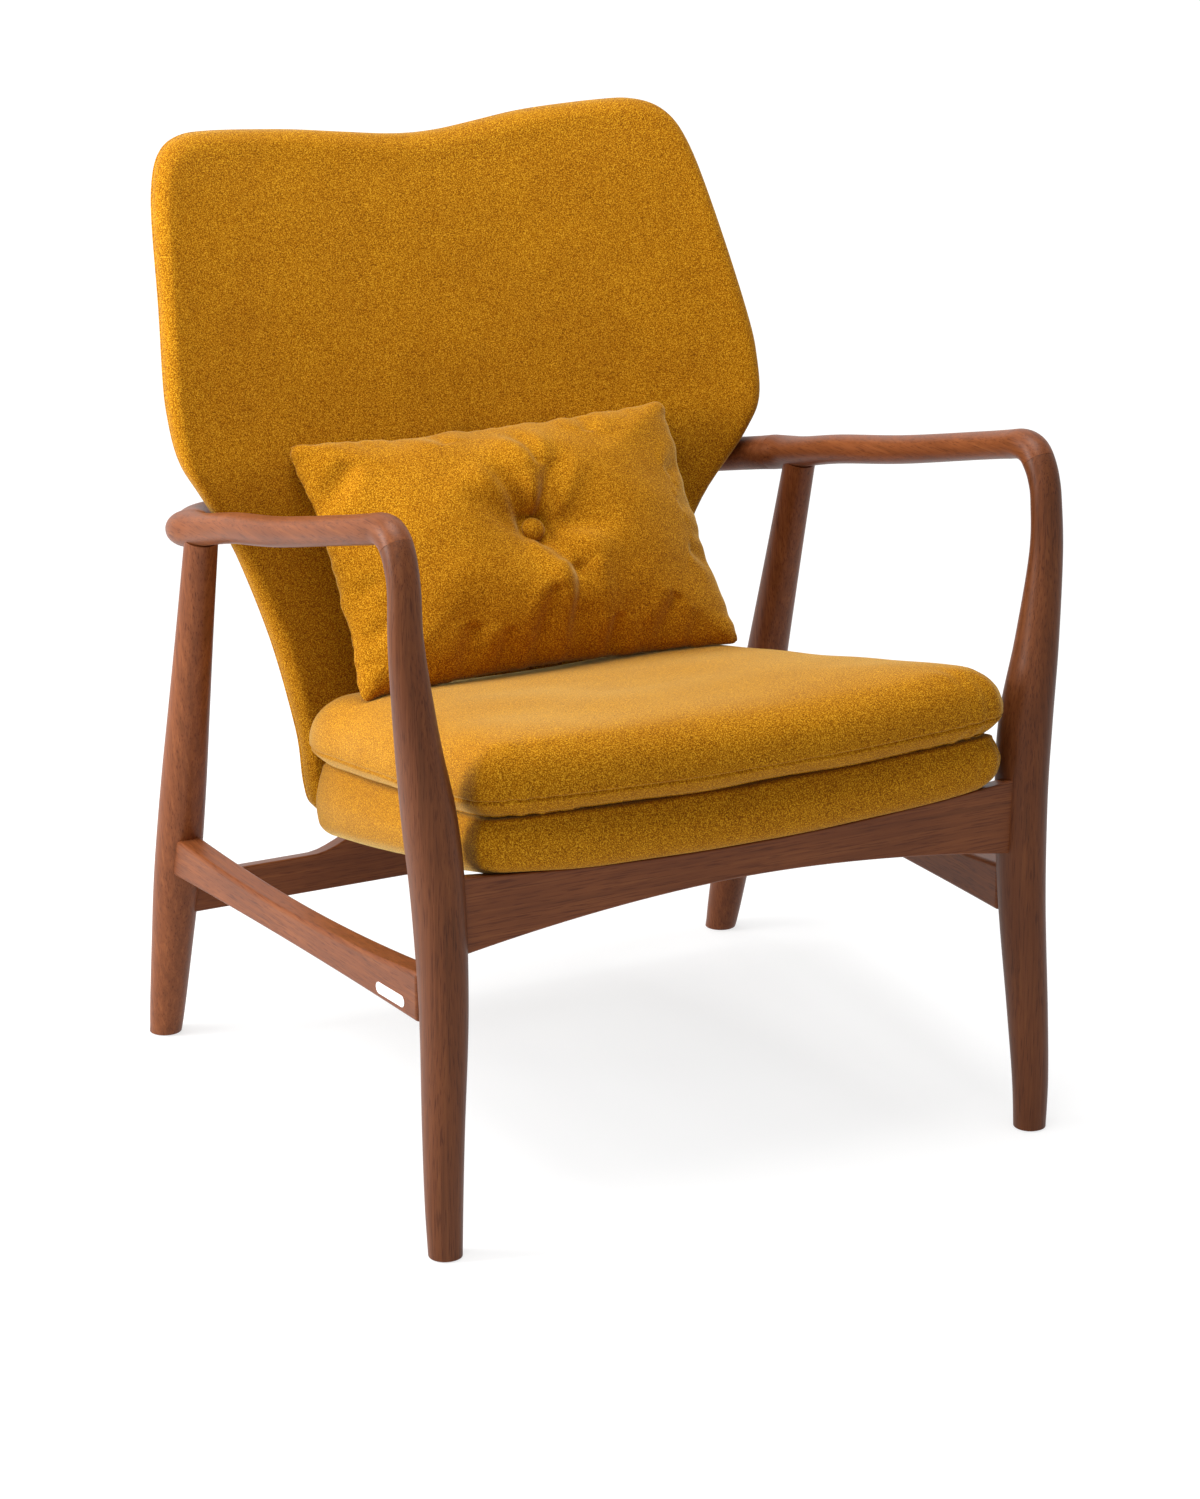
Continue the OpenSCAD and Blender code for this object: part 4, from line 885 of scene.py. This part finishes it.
moulded_white = plain_finish("plate_moulded_white_satin", "#f3f2ef", "#fbfaf8", 4, 0.35)
nylon = plain_finish("nylon_moulded_black", "#18181a", "#222225", 1.5, 0.5)
beech = plain_finish("beech_dowel_bare", "#b98f62", "#cda878", 2, 0.7)
zinc = plain_finish("steel_zinc_plated", "#8e9094", "#a9abad", 3, 0.35, 1.0)
twine = plain_finish("cotton_twine_waxed", "#c9b98f", "#dccfa8", 1, 0.8)
# The back bushes take the crossbar's ash, with its painted shade.
kept = {"blank_plate": moulded_white, "foot_glides": nylon, "arm_dowels": beech,
        "crossbar_dowels": beech, "seat_screws": zinc, "back_bolts": zinc, "back_nuts": zinc,
        "back_brackets": zinc, "bracket_screws": zinc, "pillow_twine": twine,
        "back_bushes": bar_ash}
for node, finish in kept.items():
    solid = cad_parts[node]
    for place in solid.material_slots:
        place.material = finish

# ---- Studio ---------------------------------------------------------------------
# White sweep, a large soft key light from the rear left, a low lamp and a fill from the
# left, and one from above. The floor shows white and keeps the chair's soft shadow.
sweep = new_material("studio_floor_matt_white")
path = add(sweep, "LightPath")
seen = add(sweep, "Math", {"operation": "ADD", "use_clamp": True},
           i0=(path, "Is Camera Ray"), i1=(path, "Is Glossy Ray"))
seen_all = add(sweep, "Math", {"operation": "ADD", "use_clamp": True},
               i0=(seen, 0), i1=(path, "Is Transmission Ray"))
bounce = add(sweep, "BsdfDiffuse", Color=linear("#e6e6e6"))
shade_catch = add(sweep, "BsdfDiffuse", Color=linear("#a2a2a2"))
spot = add(sweep, "TexCoord")
far = add(sweep, "VectorMath", {"operation": "LENGTH"}, i0=(spot, "Object"))
fade = add(sweep, "MapRange", Value=(far, "Value"), From_Min=1.6, From_Max=4.5, To_Min=0.72,
           To_Max=1.0)
glow = add(sweep, "Emission", Color=(1, 1, 1, 1), Strength=(fade, 0))
white = add(sweep, "AddShader", i0=(shade_catch, 0), i1=(glow, 0))
floor_mix = add(sweep, "MixShader", i0=(seen_all, 0), i1=(bounce, 0), i2=(white, 0))
add(sweep, "OutputMaterial", Surface=(floor_mix, 0))
span = 14000.0
floor = mesh_piece("studio_floor", [(-span, -span, 0), (span, -span, 0), (span, span, 0),
                                    (-span, span, 0)], [(0, 1, 2, 3)])
floor.data.materials.append(sweep)

world = bpy.data.worlds.new("studio")
world.use_nodes = True
world.node_tree.nodes.clear()
bpy.context.scene.world = world


rays = add(world, "LightPath")
cam_gloss = add(world, "Math", {"operation": "ADD", "use_clamp": True},
                      i0=(rays, "Is Camera Ray"), i1=(rays, "Is Transmission Ray"))
all_seen = add(world, "Math", {"operation": "ADD", "use_clamp": True},
                     i0=(cam_gloss, 0), i1=(rays, "Is Glossy Ray"))
soft_sky = add(world, "Background", Color=(1, 1, 1, 1), Strength=0.3)
shown_sky = add(world, "Background", Color=(1, 1, 1, 1), Strength=1.0)
sky = add(world, "MixShader", i0=(all_seen, 0), i1=(soft_sky, 0), i2=(shown_sky, 0))
output = world.node_tree.nodes.new("ShaderNodeOutputWorld")
world.node_tree.links.new(sky.outputs[0], output.inputs[0])


def soft_box(name, place, aim, size, watts):
    lamp = bpy.data.lights.new(name, "AREA")
    lamp.shape = "SQUARE"
    lamp.size = size
    lamp.energy = watts
    holder = bpy.data.objects.new(name, lamp)
    holder.location = place
    holder.rotation_euler = (Vector(aim) - Vector(place)).to_track_quat("-Z", "Y").to_euler()
    bpy.context.scene.collection.objects.link(holder)


soft_box("key_rear_left", (-2.7, 1.0, 2.1), (0, 0, 0.45), 1.4, 56)
soft_box("low_left", (-1.6, 0.3, 0.85), (-0.3, 0.25, 0.3), 0.7, 19)
soft_box("front_left", (-2.3, -2.5, 2.5), (0, 0, 0.5), 2.0, 18)
soft_box("top", (-0.3, -0.1, 3.1), (0, 0, 0.4), 2.0, 88)

camera_data = bpy.data.cameras.new("camera")
camera_data.lens = 98.47
camera_data.sensor_width = 36
camera = bpy.data.objects.new("camera", camera_data)
camera.location = (-1.6425, -3.0894 - centre_y / 1000, 1.4436)
camera.rotation_euler = (radians(90 - 17.870), 0, radians(-28.136))
bpy.context.scene.collection.objects.link(camera)
bpy.context.scene.camera = camera
bpy.context.scene.view_settings.view_transform = "Standard"
